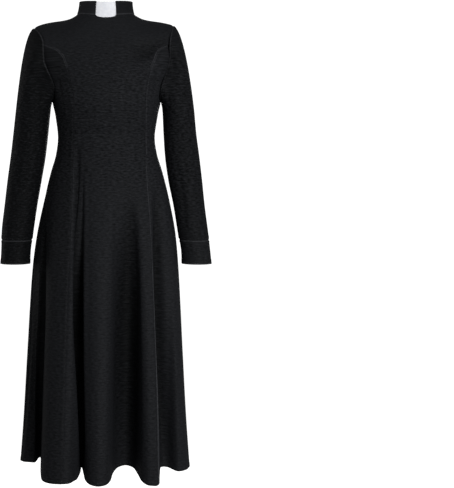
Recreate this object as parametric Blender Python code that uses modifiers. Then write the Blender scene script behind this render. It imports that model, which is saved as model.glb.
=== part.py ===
"""Clergy dress: a hollow, full-length, princess-seamed dress as it fills out on a figure.

It has a stand collar with a white tab, slim set-in sleeves with plain cuffs, a zip down the
centre back and a walking slit below it. Metres, +Z up. The front faces -Y and the photograph's
left is -X. The origin lies between the shoulders, at the height of the neck seam, where the
wearer carries the dress. Tables are in millimetres, with one row for each section or fold.
"""
import math
from collections import namedtuple

import bpy
import numpy as np

MM = 0.001

# Driving sizes, in millimetres.
WALL = 2.0
SEAM_GAP = 0.3
HEM_Z = -1180.0
WAIST_Z = -313.0
UNDERARM_LEVEL = -236.0
NECK_LEFT = 76.0
NECK_RIGHT = 75.0
NECK_FRONT = 66.0
NECK_BACK = 60.0
NECK_Z_SIDE = 8.0
NECK_Z_FRONT = -3.0
NECK_Z_BACK = 4.0
COLLAR_TOP_SIDE = 70.0
COLLAR_TOP_FRONT = 62.0
COLLAR_TOP_BACK = 57.0
COLLAR_Z_SIDE = 41.0
COLLAR_Z_FRONT = 34.0
COLLAR_Z_BACK = 44.0
COLLAR_HOLLOW = 1.0
TAB_HALF_ANGLE = 20.5
TAB_TUCK_ANGLE = 9.0
TAB_BULGE_ANGLE = 1.0
TAB_DIP = 4.5
TAB_NEXT_ANGLE = 37.5
TAB_GAP = 0.45
TAB_THICK = 1.0
CAP_FALL = 0.35
UNDERARM_OUT = 0.8
UNDERARM_DOWN = 0.6
SLEEVE_START_PULL = 0.38
SLEEVE_END_PULL = 0.95
SLEEVE_SLANT = 0.11
SLEEVE_TIP_POWER = 0.7
FOLD_POWER = 1.15
MITRE_LIMIT = 1.4
CORNER_LIMIT = 0.1
SEAM_MATCH = 0.02
SEAM_MATCH_OFFSET = 0.137
SHARP_EDGE = 35.0

# How the yoke's columns run into the neck and the shoulder seams: the way that each leans there,
# as a share of its way across and in millimetres, more at the side than in the middle.
YOKE_LEAN_ACROSS = 0.12
YOKE_LEAN_OUT = 8.0
YOKE_LEAN_OUT_SIDE = 20.0
YOKE_LEAN_DOWN = -18.0
YOKE_LEAN_DOWN_SIDE = 16.0
YOKE_PULL = 0.33
YOKE_RISE_STEP = 4.0

# The zip's slider and pull tab, in millimetres.
SLIDER_Z = 36.0
SLIDER_WIDE = 5.6
SLIDER_TALL = 9.0
SLIDER_THICK = 1.6
SLIDER_ROUND = 0.45
TUNNEL_HALF_TALL = 1.25
TUNNEL_HALF_DEEP = 1.05
BRIDGE_WALL = 0.8
BRIDGE_WIDE = 1.6
PULL_THICK = 1.0
PULL_BAR = 0.6
PULL_CORNER = 1.2
PULL_LONG = 16.5
PULL_EYE_HALF = 1.25
PULL_EYE_LONG = 5.0
PULL_TOP_HALF = 2.6
PULL_END_HALF = 3.1
PIVOT_SIZE = 5.0

# Linear colours, and roughness.
KNIT_COLOUR = (0.0125, 0.0125, 0.014)
TAB_COLOUR = (0.83, 0.83, 0.85)
SLIDER_COLOUR = (0.30, 0.30, 0.32)
PULL_COLOUR = (0.34, 0.34, 0.36)
KNIT_ROUGHNESS = 0.62
TAB_ROUGHNESS = 0.5
SLIDER_ROUGHNESS = 0.32
PULL_ROUGHNESS = 0.28

Section = namedtuple("Section", "name z left right front back square")
BODY = (
    Section("yoke", -76, 186, 184, 90, 90, 2.6),
    Section("chest", -120, 172, 172, 107, 99, 2.4),
    Section("upper bust", -160, 157, 159, 120, 101, 2.3),
    Section("bust", -190, 149, 151, 125, 100, 2.2),
    Section("underarm", -220, 141, 144, 125, 97, 2.15),
    Section("ribs", -265, 131, 134, 112, 89, 2.1),
    Section("waist", -313, 126, 128, 96, 84, 2.0),
    Section("below waist", -355, 131, 134, 98, 90, 2.0),
    Section("high hip", -400, 144, 148, 104, 102, 2.0),
    Section("hip", -480, 164, 168, 112, 117, 2.0),
    Section("seat", -570, 183, 184, 118, 122, 2.0),
    Section("thigh", -650, 194, 191, 122, 124, 2.0),
    Section("knee", -870, 209, 203, 130, 130, 2.0),
    Section("calf", -1060, 221, 214, 135, 135, 2.0),
    Section("hem", -1180, 230, 223, 138, 138, 2.0),
)

# The princess seams, by height and by distance from the middle, from the armhole to the hem.
Seam = namedtuple("Seam", "z x")
FRONT_SEAM_L = (
    Seam(-76, -159), Seam(-83, -143), Seam(-90, -127), Seam(-100, -116.5), Seam(-110, -108.5),
    Seam(-122, -104), Seam(-148, -95.5), Seam(-178, -87.5), Seam(-206, -83), Seam(-260, -82.5),
    Seam(-313, -84), Seam(-474, -87), Seam(-760, -98), Seam(-1180, -109),
)
FRONT_SEAM_R = (
    Seam(-76, 163), Seam(-87, 143), Seam(-97, 134.5), Seam(-111, 127.5), Seam(-132, 117.5),
    Seam(-160, 110), Seam(-219, 101.5), Seam(-313, 102), Seam(-416, 106.5), Seam(-548, 115.5),
    Seam(-749, 124.5), Seam(-980, 132), Seam(-1180, 134),
)
BACK_SEAM_L = (
    Seam(-91, -176), Seam(-108, -166), Seam(-128, -157), Seam(-167, -141), Seam(-203, -124.5),
    Seam(-247, -110), Seam(-306, -101), Seam(-372, -94), Seam(-566, -109), Seam(-876, -124),
    Seam(-1180, -127),
)
BACK_SEAM_R = (
    Seam(-91, 176), Seam(-108, 166), Seam(-128, 157), Seam(-169, 139.5), Seam(-203, 127),
    Seam(-254, 113), Seam(-311, 105), Seam(-435, 101), Seam(-635, 110), Seam(-876, 121),
    Seam(-1180, 132),
)

# The lower armholes, from the underarm up to the princess seam.
FRONT_ARMHOLE_L = (Seam(-220, -141), Seam(-206, -134), Seam(-187, -131), Seam(-166, -137),
                   Seam(-140, -149), Seam(-113, -158), Seam(-76, -159))
FRONT_ARMHOLE_R = (Seam(-220, 144), Seam(-206, 142), Seam(-188, 142.5), Seam(-166, 148.5),
                   Seam(-135, 158), Seam(-103, 164), Seam(-76, 163))
BACK_ARMHOLE_L = (Seam(-220, -141), Seam(-208, -140.5), Seam(-190, -143.5), Seam(-160, -153),
                  Seam(-125, -166), Seam(-91, -176))
BACK_ARMHOLE_R = (Seam(-220, 144), Seam(-207, 143), Seam(-188, 146), Seam(-160, 154.5),
                  Seam(-125, 166.5), Seam(-91, 176))

# The shoulder seam, by distance from the middle. It is the top of the dress from neck to tip.
Ridge = namedtuple("Ridge", "x z")
SHOULDER = (Ridge(76, 8), Ridge(84, 3), Ridge(95, -2), Ridge(112, -6), Ridge(143, -10.5),
            Ridge(168, -16), Ridge(181, -21), Ridge(192, -28))
TIP_LEFT = 188.0
TIP_RIGHT = 176.0

# The folds of the skirt, one row each, from one seam to the next. share is a fold's place between
# the two seams at the waist, hem_x and hem_y its place at the hem, start the height where it
# begins, and lift how far the hem rises there.
Fold = namedtuple("Fold", "name share hem_x hem_y start lift")
SIDE_FRONT_L = (
    Fold("side seam", 0.00, -230, 4, -420, 0),
    Fold("side face", 0.14, -214, -22, -420, 0),
    Fold("side face inner", 0.30, -188, -24, -430, 0),
    Fold("left flute recess", 0.44, -175, -6, -430, 4),
    Fold("left flute wall", 0.54, -170, -58, -430, 2),
    Fold("left flute edge", 0.64, -163, -116, -430, 0),
    Fold("left flute front", 0.76, -147, -142, -420, 0),
    Fold("left flute crest", 0.90, -124, -151, -400, 0),
    Fold("princess seam", 1.00, -109, -152, -400, 0),
)
CENTRE_FRONT = (
    Fold("princess seam", 0.00, -109, -152, -400, 0),
    Fold("left flute right face", 0.05, -92, -146, -395, 0),
    Fold("pinch left edge", 0.09, -78, -120, -385, 2),
    Fold("pinch left wall", 0.115, -71, -80, -375, 8),
    Fold("pinch floor", 0.14, -65, -48, -370, 13),
    Fold("pinch right wall", 0.165, -59, -80, -375, 8),
    Fold("pinch right edge", 0.20, -53, -124, -385, 2),
    Fold("centre flute left face", 0.26, -39, -156, -395, 0),
    Fold("centre flute crest", 0.34, -20, -166, -400, 0),
    Fold("centre flute right face", 0.43, -2, -160, -400, 0),
    Fold("arch left edge", 0.51, 11, -132, -400, 2),
    Fold("arch left wall", 0.57, 18, -90, -400, 8),
    Fold("arch floor left", 0.63, 31, -60, -400, 13),
    Fold("arch floor", 0.70, 50, -48, -400, 15),
    Fold("arch floor right", 0.76, 69, -60, -410, 13),
    Fold("arch right wall", 0.81, 81, -96, -430, 7),
    Fold("right flute left edge", 0.86, 90, -132, -450, 1),
    Fold("right flute crest", 0.92, 107, -149, -460, 0),
    Fold("right flute right face", 0.97, 124, -150, -460, 0),
    Fold("princess seam", 1.00, 134, -139, -460, 0),
)
SIDE_FRONT_R = (
    Fold("princess seam", 0.00, 134, -139, -460, 0),
    Fold("right flute wall", 0.08, 138, -88, -460, 4),
    Fold("right recess", 0.20, 144, -34, -460, 6),
    Fold("right recess edge", 0.36, 160, -26, -460, 4),
    Fold("right side crest", 0.58, 188, -50, -450, 0),
    Fold("right side face", 0.80, 210, -36, -440, 0),
    Fold("side seam", 1.00, 223, -4, -420, 0),
)
SIDE_BACK_R = (
    Fold("side seam", 0.00, 223, -4, -420, 0),
    Fold("side face", 0.18, 215, 38, -420, 0),
    Fold("back side face", 0.42, 191, 88, -420, 0),
    Fold("back side crest", 0.68, 162, 120, -430, 0),
    Fold("back side edge", 0.88, 143, 110, -440, 0),
    Fold("princess seam", 1.00, 132, 86, -440, 2),
)
CENTRE_BACK_R = (
    Fold("princess seam", 0.00, 132, 86, -440, 2),
    Fold("back arch face", 0.12, 118, 62, -440, 6),
    Fold("back arch floor", 0.26, 101, 55, -440, 8),
    Fold("back arch wall", 0.40, 85, 76, -440, 5),
    Fold("back flute edge", 0.52, 71, 116, -440, 1),
    Fold("back flute face", 0.64, 55, 146, -450, 0),
    Fold("back flute crest", 0.76, 36, 157, -460, 0),
    Fold("back flute inner face", 0.90, 14, 142, -520, 0),
    Fold("slit edge", 1.00, -3, 114, -670, 0),
)
CENTRE_BACK_L = (
    Fold("slit edge", 0.00, -15, 134, -670, 0),
    Fold("flat panel near the slit", 0.20, -42, 149, -520, 0),
    Fold("flat panel", 0.50, -76, 155, -450, 0),
    Fold("flat panel far side", 0.82, -108, 154, -440, 0),
    Fold("princess seam", 1.00, -127, 144, -440, 0),
)
SIDE_BACK_L = (
    Fold("princess seam", 0.00, -127, 144, -440, 0),
    Fold("back recess wall", 0.14, -134, 104, -440, 2),
    Fold("back recess", 0.28, -143, 70, -440, 4),
    Fold("back recess face", 0.46, -160, 66, -440, 3),
    Fold("back side crest", 0.68, -186, 66, -430, 0),
    Fold("side face", 0.86, -212, 42, -420, 0),
    Fold("side seam", 1.00, -230, 4, -420, 0),
)

# The sleeves below the underarm, by height: outer and inner edge of each, and the depth.
Arm = namedtuple("Arm", "name z left_out left_in right_out right_in middle_y half_deep")
SLEEVE = (
    Arm("upper arm", -246, 237, 145.5, 232, 148.5, 0, 54),
    Arm("above elbow", -300, 243, 151, 237, 151, 0, 52),
    Arm("elbow", -360, 250, 158, 245, 155, -1, 49),
    Arm("below elbow", -420, 258, 168, 252, 163, -4, 47),
    Arm("forearm", -490, 266, 180, 259, 177, -8, 44),
    Arm("wrist", -560, 273.5, 190, 268, 188, -12, 41),
    Arm("cuff", -610, 275, 196.5, 274, 196.5, -14, 40),
    Arm("cuff hem", -641, 277, 198, 277, 198, -15, 40),
)
SLEEVE_LEVELS = (-246, -285, -325, -360, -400, -450, -510, -578)
CUFF_LEVELS = (-578, -608, -641)

# Heights of the rows of the panels above the waist, up to the front and back princess points.
BUST_LEVELS = (-313, -290, -262, -236, -212, -188, -166)
FRONT_LEVELS = BUST_LEVELS + (-145, -126, -111, -100, -92, -84, -76)
BACK_LEVELS = BUST_LEVELS + (-148, -133, -121, -112, -104, -97, -91)
SKIRT_SHARES = (0.0, 0.13, 0.26, 0.38, 0.50, 0.61, 0.71, 0.80, 0.88, 0.945, 1.0)
ARMHOLE_STEPS = 60
ARMHOLE_SPREAD = 0.53
YOKE_ROWS = 5
YOKE_FAN = 103.0
SHOULDER_STEPS = 5
NECK_FRONT_ANGLES = (-73, -55, -TAB_NEXT_ANGLE, -TAB_HALF_ANGLE, -7, 7, TAB_HALF_ANGLE,
                     TAB_NEXT_ANGLE, 55, 73)
NECK_BACK_ANGLES = (108, 126, 144, 162, 180)
COLLAR_ROWS = (0.0, 0.5, 1.0)
TAB_COLUMNS = 7
TAB_ROWS = (0.0, 0.5, 0.97)
SLEEVE_CAP_SHARES = (0.0, 0.1, 0.24, 0.42, 0.61, 0.8, 1.0)


def smooth(at, known, values):
    """A smooth curve through the known values that doesn't overshoot them, read at each place."""
    known = np.asarray(known, float)
    values = np.asarray(values, float)
    if known[0] > known[-1]:
        known = known[::-1]
        values = values[::-1]
    step = np.diff(known)
    slope = np.diff(values) / step
    lean = np.zeros(len(known))
    lean[0] = slope[0]
    lean[-1] = slope[-1]
    same = slope[:-1] * slope[1:] > 0
    w1 = 2 * step[1:] + step[:-1]
    w2 = step[1:] + 2 * step[:-1]
    safe_a = np.where(same, slope[:-1], 1.0)
    safe_b = np.where(same, slope[1:], 1.0)
    lean[1:-1] = np.where(same, (w1 + w2) / (w1 / safe_a + w2 / safe_b), 0.0)
    at = np.clip(np.asarray(at, float), known[0], known[-1])
    i = np.clip(np.searchsorted(known, at) - 1, 0, len(step) - 1)
    t = (at - known[i]) / step[i]
    rise = values[i + 1] - values[i]
    a = lean[i] * step[i]
    b = lean[i + 1] * step[i]
    return values[i] + t * a + t * t * (3 * rise - 2 * a - b) + t * t * t * (a + b - 2 * rise)


def column(table, field):
    """One named column of a table."""
    return np.array([getattr(row, field) for row in table], float)


def body_size(field, z):
    """One of the body's sizes at a height."""
    return smooth(z, column(BODY, "z"), column(BODY, field))


def body_angle(x, z, behind):
    """The angle round the body of a place at x. 0 is the front's middle, 180 degrees the back's."""
    x = np.asarray(x, float)
    half = np.where(x < 0, body_size("left", z), body_size("right", z))
    sine = np.clip(np.abs(x) / half, 0, 1) ** (body_size("square", z) / 2)
    angle = np.arcsin(sine) * np.sign(x)
    return math.pi - angle if behind else angle


def body_point(angle, z):
    """The plain body, before its folds: a squared ellipse at each height."""
    s = np.sin(angle)
    c = np.cos(angle)
    half = np.where(s < 0, body_size("left", z), body_size("right", z))
    deep = np.where(c > 0, body_size("front", z), body_size("back", z))
    power = 2 / body_size("square", z)
    x = half * np.sign(s) * np.abs(s) ** power
    y = -deep * np.sign(c) * np.abs(c) ** power
    return np.stack([x, y, z * np.ones_like(x)], -1)


def seam_x(seam, z):
    """A princess seam's distance from the middle at a height."""
    return smooth(z, column(seam, "z"), column(seam, "x"))


def eased(t):
    """A smooth step from 0 to 1."""
    t = np.clip(t, 0, 1)
    return t * t * (3 - 2 * t)


def spread(folds, steps):
    """The folds of a panel read smoothly at equal steps: a dict of arrays, one for each column."""
    places = np.linspace(0, len(folds) - 1, steps + 1)
    knots = np.arange(len(folds))
    return {f: smooth(places, knots, column(folds, f)) for f in Fold._fields[1:]}


def at_edge(edge, z, behind):
    """The angle of a panel's edge at a height: a seam from a table, or a fixed angle in degrees."""
    if isinstance(edge, tuple):
        return body_angle(seam_x(edge, z), z, behind)
    return np.radians(edge) * np.ones_like(np.asarray(z, float))


def bezier(p0, p1, p2, p3, t):
    """Points on cubic curves, one curve for each row of the four arrays."""
    return ((1 - t) ** 3 * p0 + 3 * t * (1 - t) ** 2 * p1
            + 3 * t * t * (1 - t) * p2 + t ** 3 * p3)


def unit(v):
    """Vectors brought to a length of 1."""
    return v / np.maximum(np.linalg.norm(v, axis=-1, keepdims=True), 1e-12)


def hem_push(fold, behind):
    """How far the folds move each column along Y at the hem."""
    z = HEM_Z * np.ones_like(fold["hem_x"])
    angle = body_angle(fold["hem_x"], z, behind)
    return fold["hem_y"] - body_point(angle, z)[:, 1]


def skirt_height(fold, part):
    """The height and the fold's share of its reach for a row, where part is 1 at the waist."""
    z = WAIST_Z + (1 - part) * (HEM_Z + fold["lift"] - WAIST_Z)
    reach = np.clip((fold["start"] - z) / (fold["start"] - HEM_Z), 0, 1)
    return z, reach


def neck_point(degrees):
    """A point of the neck seam. 0 is the front's middle, 90 the wearer's left side."""
    a = math.radians(degrees)
    s = math.sin(a)
    c = math.cos(a)
    half = NECK_LEFT if s < 0 else NECK_RIGHT
    deep = NECK_FRONT if c > 0 else NECK_BACK
    end = NECK_Z_FRONT if c > 0 else NECK_Z_BACK
    dip = TAB_DIP * max(0.0, 1 - (degrees / TAB_HALF_ANGLE) ** 4)
    return (half * s, -deep * c, NECK_Z_SIDE + (end - NECK_Z_SIDE) * c * c - dip)


def shoulder_point(x):
    """A point of the shoulder seam."""
    return (x, 0.0, float(smooth(abs(x), column(SHOULDER, "x"), column(SHOULDER, "z"))))


def shoulder_run(start, end):
    """Places across the shoulder from one end to the other."""
    return list(np.linspace(start, end, SHOULDER_STEPS + 1))


def yoke_columns(tip, edge_x, angles):
    """Top point, place at the yoke line and neck angle of each column, from shoulder tip to neck."""
    side = math.copysign(1.0, tip)
    neck = neck_point(side * 90)
    rows = []
    for x, level in zip(shoulder_run(tip, neck[0]), shoulder_run(edge_x, side * YOKE_FAN)):
        rows.append((shoulder_point(x), level, 90.0))
    rows[-1] = (neck, side * YOKE_FAN, 90.0)
    for a in angles:
        from_middle = min(abs(a), 180 - abs(a))
        rows.append((neck_point(a), side * YOKE_FAN * from_middle / 90, a))
    return rows


def front_yoke_columns():
    """The columns of the front yoke, from the left shoulder tip past the neck to the right one."""
    left = yoke_columns(-TIP_LEFT, FRONT_SEAM_L[0].x, [a for a in NECK_FRONT_ANGLES if a < 0])
    right = yoke_columns(TIP_RIGHT, FRONT_SEAM_R[0].x, [a for a in NECK_FRONT_ANGLES[::-1] if a > 0])
    return left + right[::-1]


def yoke_top(rows, behind):
    """The columns of a yoke as arrays: top points, their inward leans and places at the yoke line."""
    top = np.array([row[0] for row in rows], float)
    level = np.array([row[1] for row in rows], float)
    side = np.sin(np.radians([row[2] for row in rows])) ** 2
    toward = 1.0 if behind else -1.0
    lean = np.stack([YOKE_LEAN_ACROSS * (level - top[:, 0]),
                     toward * (YOKE_LEAN_OUT + YOKE_LEAN_OUT_SIDE * side),
                     YOKE_LEAN_DOWN + YOKE_LEAN_DOWN_SIDE * side], -1)
    return top, lean, level


class CentrePanel:
    """A panel that reaches the neck: skirt, bodice between its seams, and yoke up to the top."""

    def __init__(self, folds, first, last, behind, levels, columns):
        steps = len(columns) - 1
        self.fold = spread(folds, steps)
        self.first = first
        self.last = last
        self.behind = behind
        self.levels = levels
        self.top, self.lean, self.level_x = yoke_top(columns, behind)

    def edges(self, z):
        """Where the two edges are at a height, as distances from the middle."""
        first = seam_x(self.first, z) if self.first else 0.0
        last = seam_x(self.last, z) if self.last else 0.0
        return first, last

    def across(self, share, z):
        """Places between the edges as distances from the middle."""
        first, last = self.edges(z)
        return first + share * (last - first)

    def on_body(self, x, z):
        """Points of the plain body at these places."""
        z = z * np.ones_like(x)
        return body_point(body_angle(x, z, self.behind), z)

    def skirt_row(self, part):
        """A row of the skirt: straight fold lines, moved out and in along Y."""
        fold = self.fold
        z, reach = skirt_height(fold, part)
        stray = fold["hem_x"] - self.across(fold["share"], HEM_Z)
        point = self.on_body(self.across(fold["share"], z) + stray * reach, z)
        point[:, 1] += hem_push(fold, self.behind) * reach ** FOLD_POWER
        return point

    def grid(self):
        """All rows from hem to top."""
        rows = [self.skirt_row(part) for part in SKIRT_SHARES]
        low, high = self.edges(self.levels[-1])
        top_share = (self.level_x - low) / (high - low)
        span = self.levels[-1] - WAIST_Z
        for z in self.levels[1:]:
            share = self.fold["share"] + (top_share - self.fold["share"]) * eased((z - WAIST_Z) / span)
            rows.append(self.on_body(self.across(share, z), z))
        p0 = rows[-1]
        rise = p0 - self.on_body(p0[:, 0], self.levels[-1] - YOKE_RISE_STEP)
        gap = np.linalg.norm(self.top - p0, axis=1, keepdims=True)
        p1 = p0 + unit(rise) * gap * YOKE_PULL
        p2 = self.top + self.lean
        for i in range(1, YOKE_ROWS + 1):
            rows.append(bezier(p0, p1, p2, self.top, i / YOKE_ROWS))
        return np.array(rows)


class SidePanel:
    """A panel that ends at the armhole. Its columns are worked out from the side seam inwards."""

    def __init__(self, folds, steps, side, seam, behind, levels, armhole, side_first):
        order = folds if side_first else folds[::-1]
        self.fold = spread(order, steps)
        if not side_first:
            self.fold["share"] = 1 - self.fold["share"]
        self.side = math.radians(side)
        self.seam = seam
        self.behind = behind
        self.levels = np.array(levels, float)
        self.armhole = armhole
        self.side_first = side_first
        self.steps = steps

    def between(self, share, z):
        """The angle of places from the side seam to the princess seam."""
        return self.side + share * (at_edge(self.seam, z, self.behind) - self.side)

    def skirt_row(self, part):
        """A row of the skirt, whose fold lines spread round the side."""
        fold = self.fold
        z, reach = skirt_height(fold, part)
        hem_z = HEM_Z * np.ones_like(z)
        hem_angle = body_angle(fold["hem_x"], hem_z, self.behind)
        end = at_edge(self.seam, HEM_Z, self.behind)
        hem_share = (hem_angle - self.side) / (end - self.side)
        hem_share[0] = 0.0
        hem_share[-1] = 1.0
        point = body_point(self.between(fold["share"] + (hem_share - fold["share"]) * reach, z), z)
        point[:, 1] += hem_push(fold, self.behind) * reach ** FOLD_POWER
        return point

    def armhole_chart(self, share):
        """Angle and height of places along the armhole, from the underarm to the princess seam."""
        x = column(self.armhole, "x")
        z = column(self.armhole, "z")
        run = np.concatenate([[0.0], np.cumsum(np.hypot(np.diff(x), np.diff(z)))])
        at = np.linspace(0, run[-1], ARMHOLE_STEPS)
        place_z = smooth(at, run, z)
        angle = body_angle(smooth(at, run, x), place_z, self.behind)
        angle[0] = self.side
        step = np.diff(body_point(angle, place_z), axis=0)
        length = np.concatenate([[0.0], np.cumsum(np.linalg.norm(step, axis=1))])
        return np.interp(share * length[-1], length, angle), np.interp(share * length[-1], length, place_z)

    def grid(self):
        """All rows from hem to armhole."""
        rows = [self.skirt_row(part) for part in SKIRT_SHARES]
        even = np.linspace(0, 1, self.steps + 1)
        low_share = even ** ARMHOLE_SPREAD
        for z in self.levels[1:]:
            if z > UNDERARM_LEVEL:
                break
            mix = eased((z - WAIST_Z) / (UNDERARM_LEVEL - WAIST_Z))
            share = self.fold["share"] + (low_share - self.fold["share"]) * mix
            rows.append(body_point(self.between(share, z * np.ones_like(share)), z))
        low_angle = self.between(low_share, UNDERARM_LEVEL * np.ones_like(even))
        arm_angle, arm_z = self.armhole_chart(even)
        upper = self.levels[self.levels > UNDERARM_LEVEL]
        for i, z in enumerate(upper):
            v = (i + 1) / len(upper)
            angle = low_angle + v * (arm_angle - low_angle)
            high = UNDERARM_LEVEL + v * (arm_z - UNDERARM_LEVEL)
            angle += even * (at_edge(self.seam, z, self.behind) - angle[-1])
            high += even * (z - high[-1])
            rows.append(body_point(angle, high))
        points = np.array(rows)
        return points if self.side_first else points[:, ::-1]


def armhole_ring(front, side_front, side_back, back):
    """The armhole from the shoulder tip down the front, under the arm and up the back.

    Each argument is the armhole edge of a panel, in that order. The second result is the place of
    the underarm in the ring.
    """
    ring = np.concatenate([front, side_front[1:], side_back[1:], back[1:-1]])
    return ring, len(front) + len(side_front) - 2


def arm_ring(side, z, angle):
    """A ring of the sleeve below the underarm: an ellipse between its outer and inner edge."""
    label = "left" if side < 0 else "right"
    outer = smooth(z, column(SLEEVE, "z"), column(SLEEVE, label + "_out"))
    inner = smooth(z, column(SLEEVE, "z"), column(SLEEVE, label + "_in"))
    middle = smooth(z, column(SLEEVE, "z"), column(SLEEVE, "middle_y"))
    deep = smooth(z, column(SLEEVE, "z"), column(SLEEVE, "half_deep"))
    x = side * ((outer + inner) / 2 + (outer - inner) / 2 * np.cos(angle))
    y = middle - deep * np.sin(angle)
    return np.stack([x, y, z * np.ones_like(x)], -1)


def sleeve_grid(side, ring, under):
    """Rings of a sleeve from the armhole to the cuff seam, and the angle of each column."""
    closed = np.concatenate([ring, ring[:1]])
    run = np.concatenate([[0.0], np.cumsum(np.linalg.norm(np.diff(closed, axis=0), axis=1))])
    angle = np.where(np.arange(len(ring)) <= under, math.pi * run[:-1] / run[under],
                     math.pi + math.pi * (run[:-1] - run[under]) / (run[-1] - run[under]))
    along = unit(np.roll(ring, -1, 0) - np.roll(ring, 1, 0))
    out = np.array([side, 0.0, -CAP_FALL]) * np.ones((len(ring), 1))
    out = unit(out - (out * along).sum(1, keepdims=True) * along)
    near_tip = ((1 + np.cos(angle)) / 2)[:, None] ** SLEEVE_TIP_POWER
    down = np.array([side * UNDERARM_OUT, 0.0, -UNDERARM_DOWN])
    first = arm_ring(side, SLEEVE_LEVELS[0], angle)
    reach = np.linalg.norm(first - ring, axis=1, keepdims=True)
    start = unit(near_tip * out + (1 - near_tip) * down) * reach * SLEEVE_START_PULL
    end = unit(np.array([side * SLEEVE_SLANT, 0.0, -1.0])) * reach * SLEEVE_END_PULL
    rows = []
    for t in SLEEVE_CAP_SHARES:
        rows.append(ring * (2 * t ** 3 - 3 * t * t + 1) + start * (t ** 3 - 2 * t * t + t)
                    + first * (3 * t * t - 2 * t ** 3) + end * (t ** 3 - t * t))
    rows += [arm_ring(side, z, angle) for z in SLEEVE_LEVELS[1:]]
    return np.array(rows), angle


def collar_point(degrees, up):
    """A point of the collar, from the neck seam (up 0) to its top edge (up 1)."""
    low = np.array(neck_point(degrees))
    a = math.radians(degrees)
    s = math.sin(a)
    c = math.cos(a)
    deep = COLLAR_TOP_FRONT if c > 0 else COLLAR_TOP_BACK
    end = COLLAR_Z_FRONT if c > 0 else COLLAR_Z_BACK
    high = np.array([COLLAR_TOP_SIDE * s, -deep * c, COLLAR_Z_SIDE + (end - COLLAR_Z_SIDE) * c * c])
    hollow = COLLAR_HOLLOW * 4 * up * (1 - up)
    return low + up * (high - low) - hollow * np.array([s, -c, 0.0])


def collar_grid(angles):
    """A half of the stand collar: rows from the neck seam to the top edge."""
    rows = []
    for up in COLLAR_ROWS:
        widen = TAB_BULGE_ANGLE * 4 * up * (1 - up)
        at = [a + math.copysign(widen, a) if abs(a) == TAB_HALF_ANGLE else a for a in angles]
        rows.append([collar_point(a, up) for a in at])
    return np.array(rows)


def tab_point(degrees, up):
    """A point of the tab's outer face, just inside the collar and the flats of its first columns."""
    beyond = max(abs(degrees) - TAB_HALF_ANGLE, 0.0) / (TAB_NEXT_ANGLE - TAB_HALF_ANGLE)
    if beyond > 0:
        near = collar_point(math.copysign(TAB_HALF_ANGLE, degrees), up)
        far = collar_point(math.copysign(TAB_NEXT_ANGLE, degrees), up)
        place = near + beyond * (far - near)
    else:
        place = collar_point(degrees, up)
    a = math.radians(degrees)
    return place - np.array([math.sin(a), -math.cos(a), 0.0]) * (WALL + TAB_GAP)


def tab_grid():
    """The white tab: inside the collar's ends, from behind the neck edge to the collar's top."""
    half = TAB_HALF_ANGLE + TAB_TUCK_ANGLE
    angles = [-half] + list(np.linspace(-TAB_HALF_ANGLE, TAB_HALF_ANGLE, TAB_COLUMNS)) + [half]
    return np.array([[tab_point(a, up) for a in angles] for up in TAB_ROWS])


def ids_of(grids):
    """A number for every point, the same for points of two pieces that share a place on a seam."""
    flat = np.concatenate([g.reshape(-1, 3) for g in grids.values()])
    places = np.round(flat / SEAM_MATCH + SEAM_MATCH_OFFSET).astype(np.int64)
    _, number = np.unique(places, axis=0, return_inverse=True)
    number = number.reshape(-1)
    ids = {}
    at = 0
    for name, g in grids.items():
        count = g.shape[0] * g.shape[1]
        ids[name] = number[at:at + count].reshape(g.shape[:2])
        at += count
    return ids, number.max() + 1


def corners_of(grid, tube):
    """The four corner arrays of every quad of a grid, in order round the quad."""
    right = np.roll(grid, -1, 1) if tube else grid[:, 1:]
    left = grid if tube else grid[:, :-1]
    return left[:-1], right[:-1], right[1:], left[1:]


def shared_normals(grids, tubes, turned):
    """The outward direction at every point, averaged over all the pieces that meet there."""
    ids, total = ids_of(grids)
    sums = np.zeros((total, 3))
    count = np.zeros(total)
    for name, g in grids.items():
        a, b, c, d = corners_of(g, name in tubes)
        face = unit(np.cross(c - a, d - b)) * (-1.0 if name in turned else 1.0)
        for part in corners_of(ids[name], name in tubes):
            np.add.at(sums, part.reshape(-1), face.reshape(-1, 3))
            np.add.at(count, part.reshape(-1), 1.0)
    length = np.linalg.norm(sums, axis=1)
    depth = np.minimum(count / np.maximum(length, 1e-9), MITRE_LIMIT)
    out = sums / np.maximum(length, 1e-9)[:, None]
    return {name: (out[i], depth[i]) for name, i in ids.items()}


def seam_shift(grid, normal, seams, tube):
    """Moves a piece's seam edges back from the seam by half the gap, and its sharp corners by more."""
    back = np.zeros_like(grid)
    count = np.zeros(grid.shape[:2])
    edges = {"bottom": (np.s_[0], np.s_[1]), "top": (np.s_[-1], np.s_[-2]),
             "first": (np.s_[:, 0], np.s_[:, 1]), "last": (np.s_[:, -1], np.s_[:, -2])}
    for edge in seams:
        here, inward = edges[edge]
        line = grid[here]
        along = np.roll(line, -1, 0) - np.roll(line, 1, 0) if tube else np.gradient(line, axis=0)
        side = unit(np.cross(along, normal[here]))
        toward = grid[inward] - line
        back[here] += side * np.sign((side * toward).sum(-1, keepdims=True))
        count[here] += 1
    corner = np.where(count == 2, 2 / np.maximum((back ** 2).sum(-1), CORNER_LIMIT), 1.0)
    return back * corner[..., None] * SEAM_GAP / 2


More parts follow.
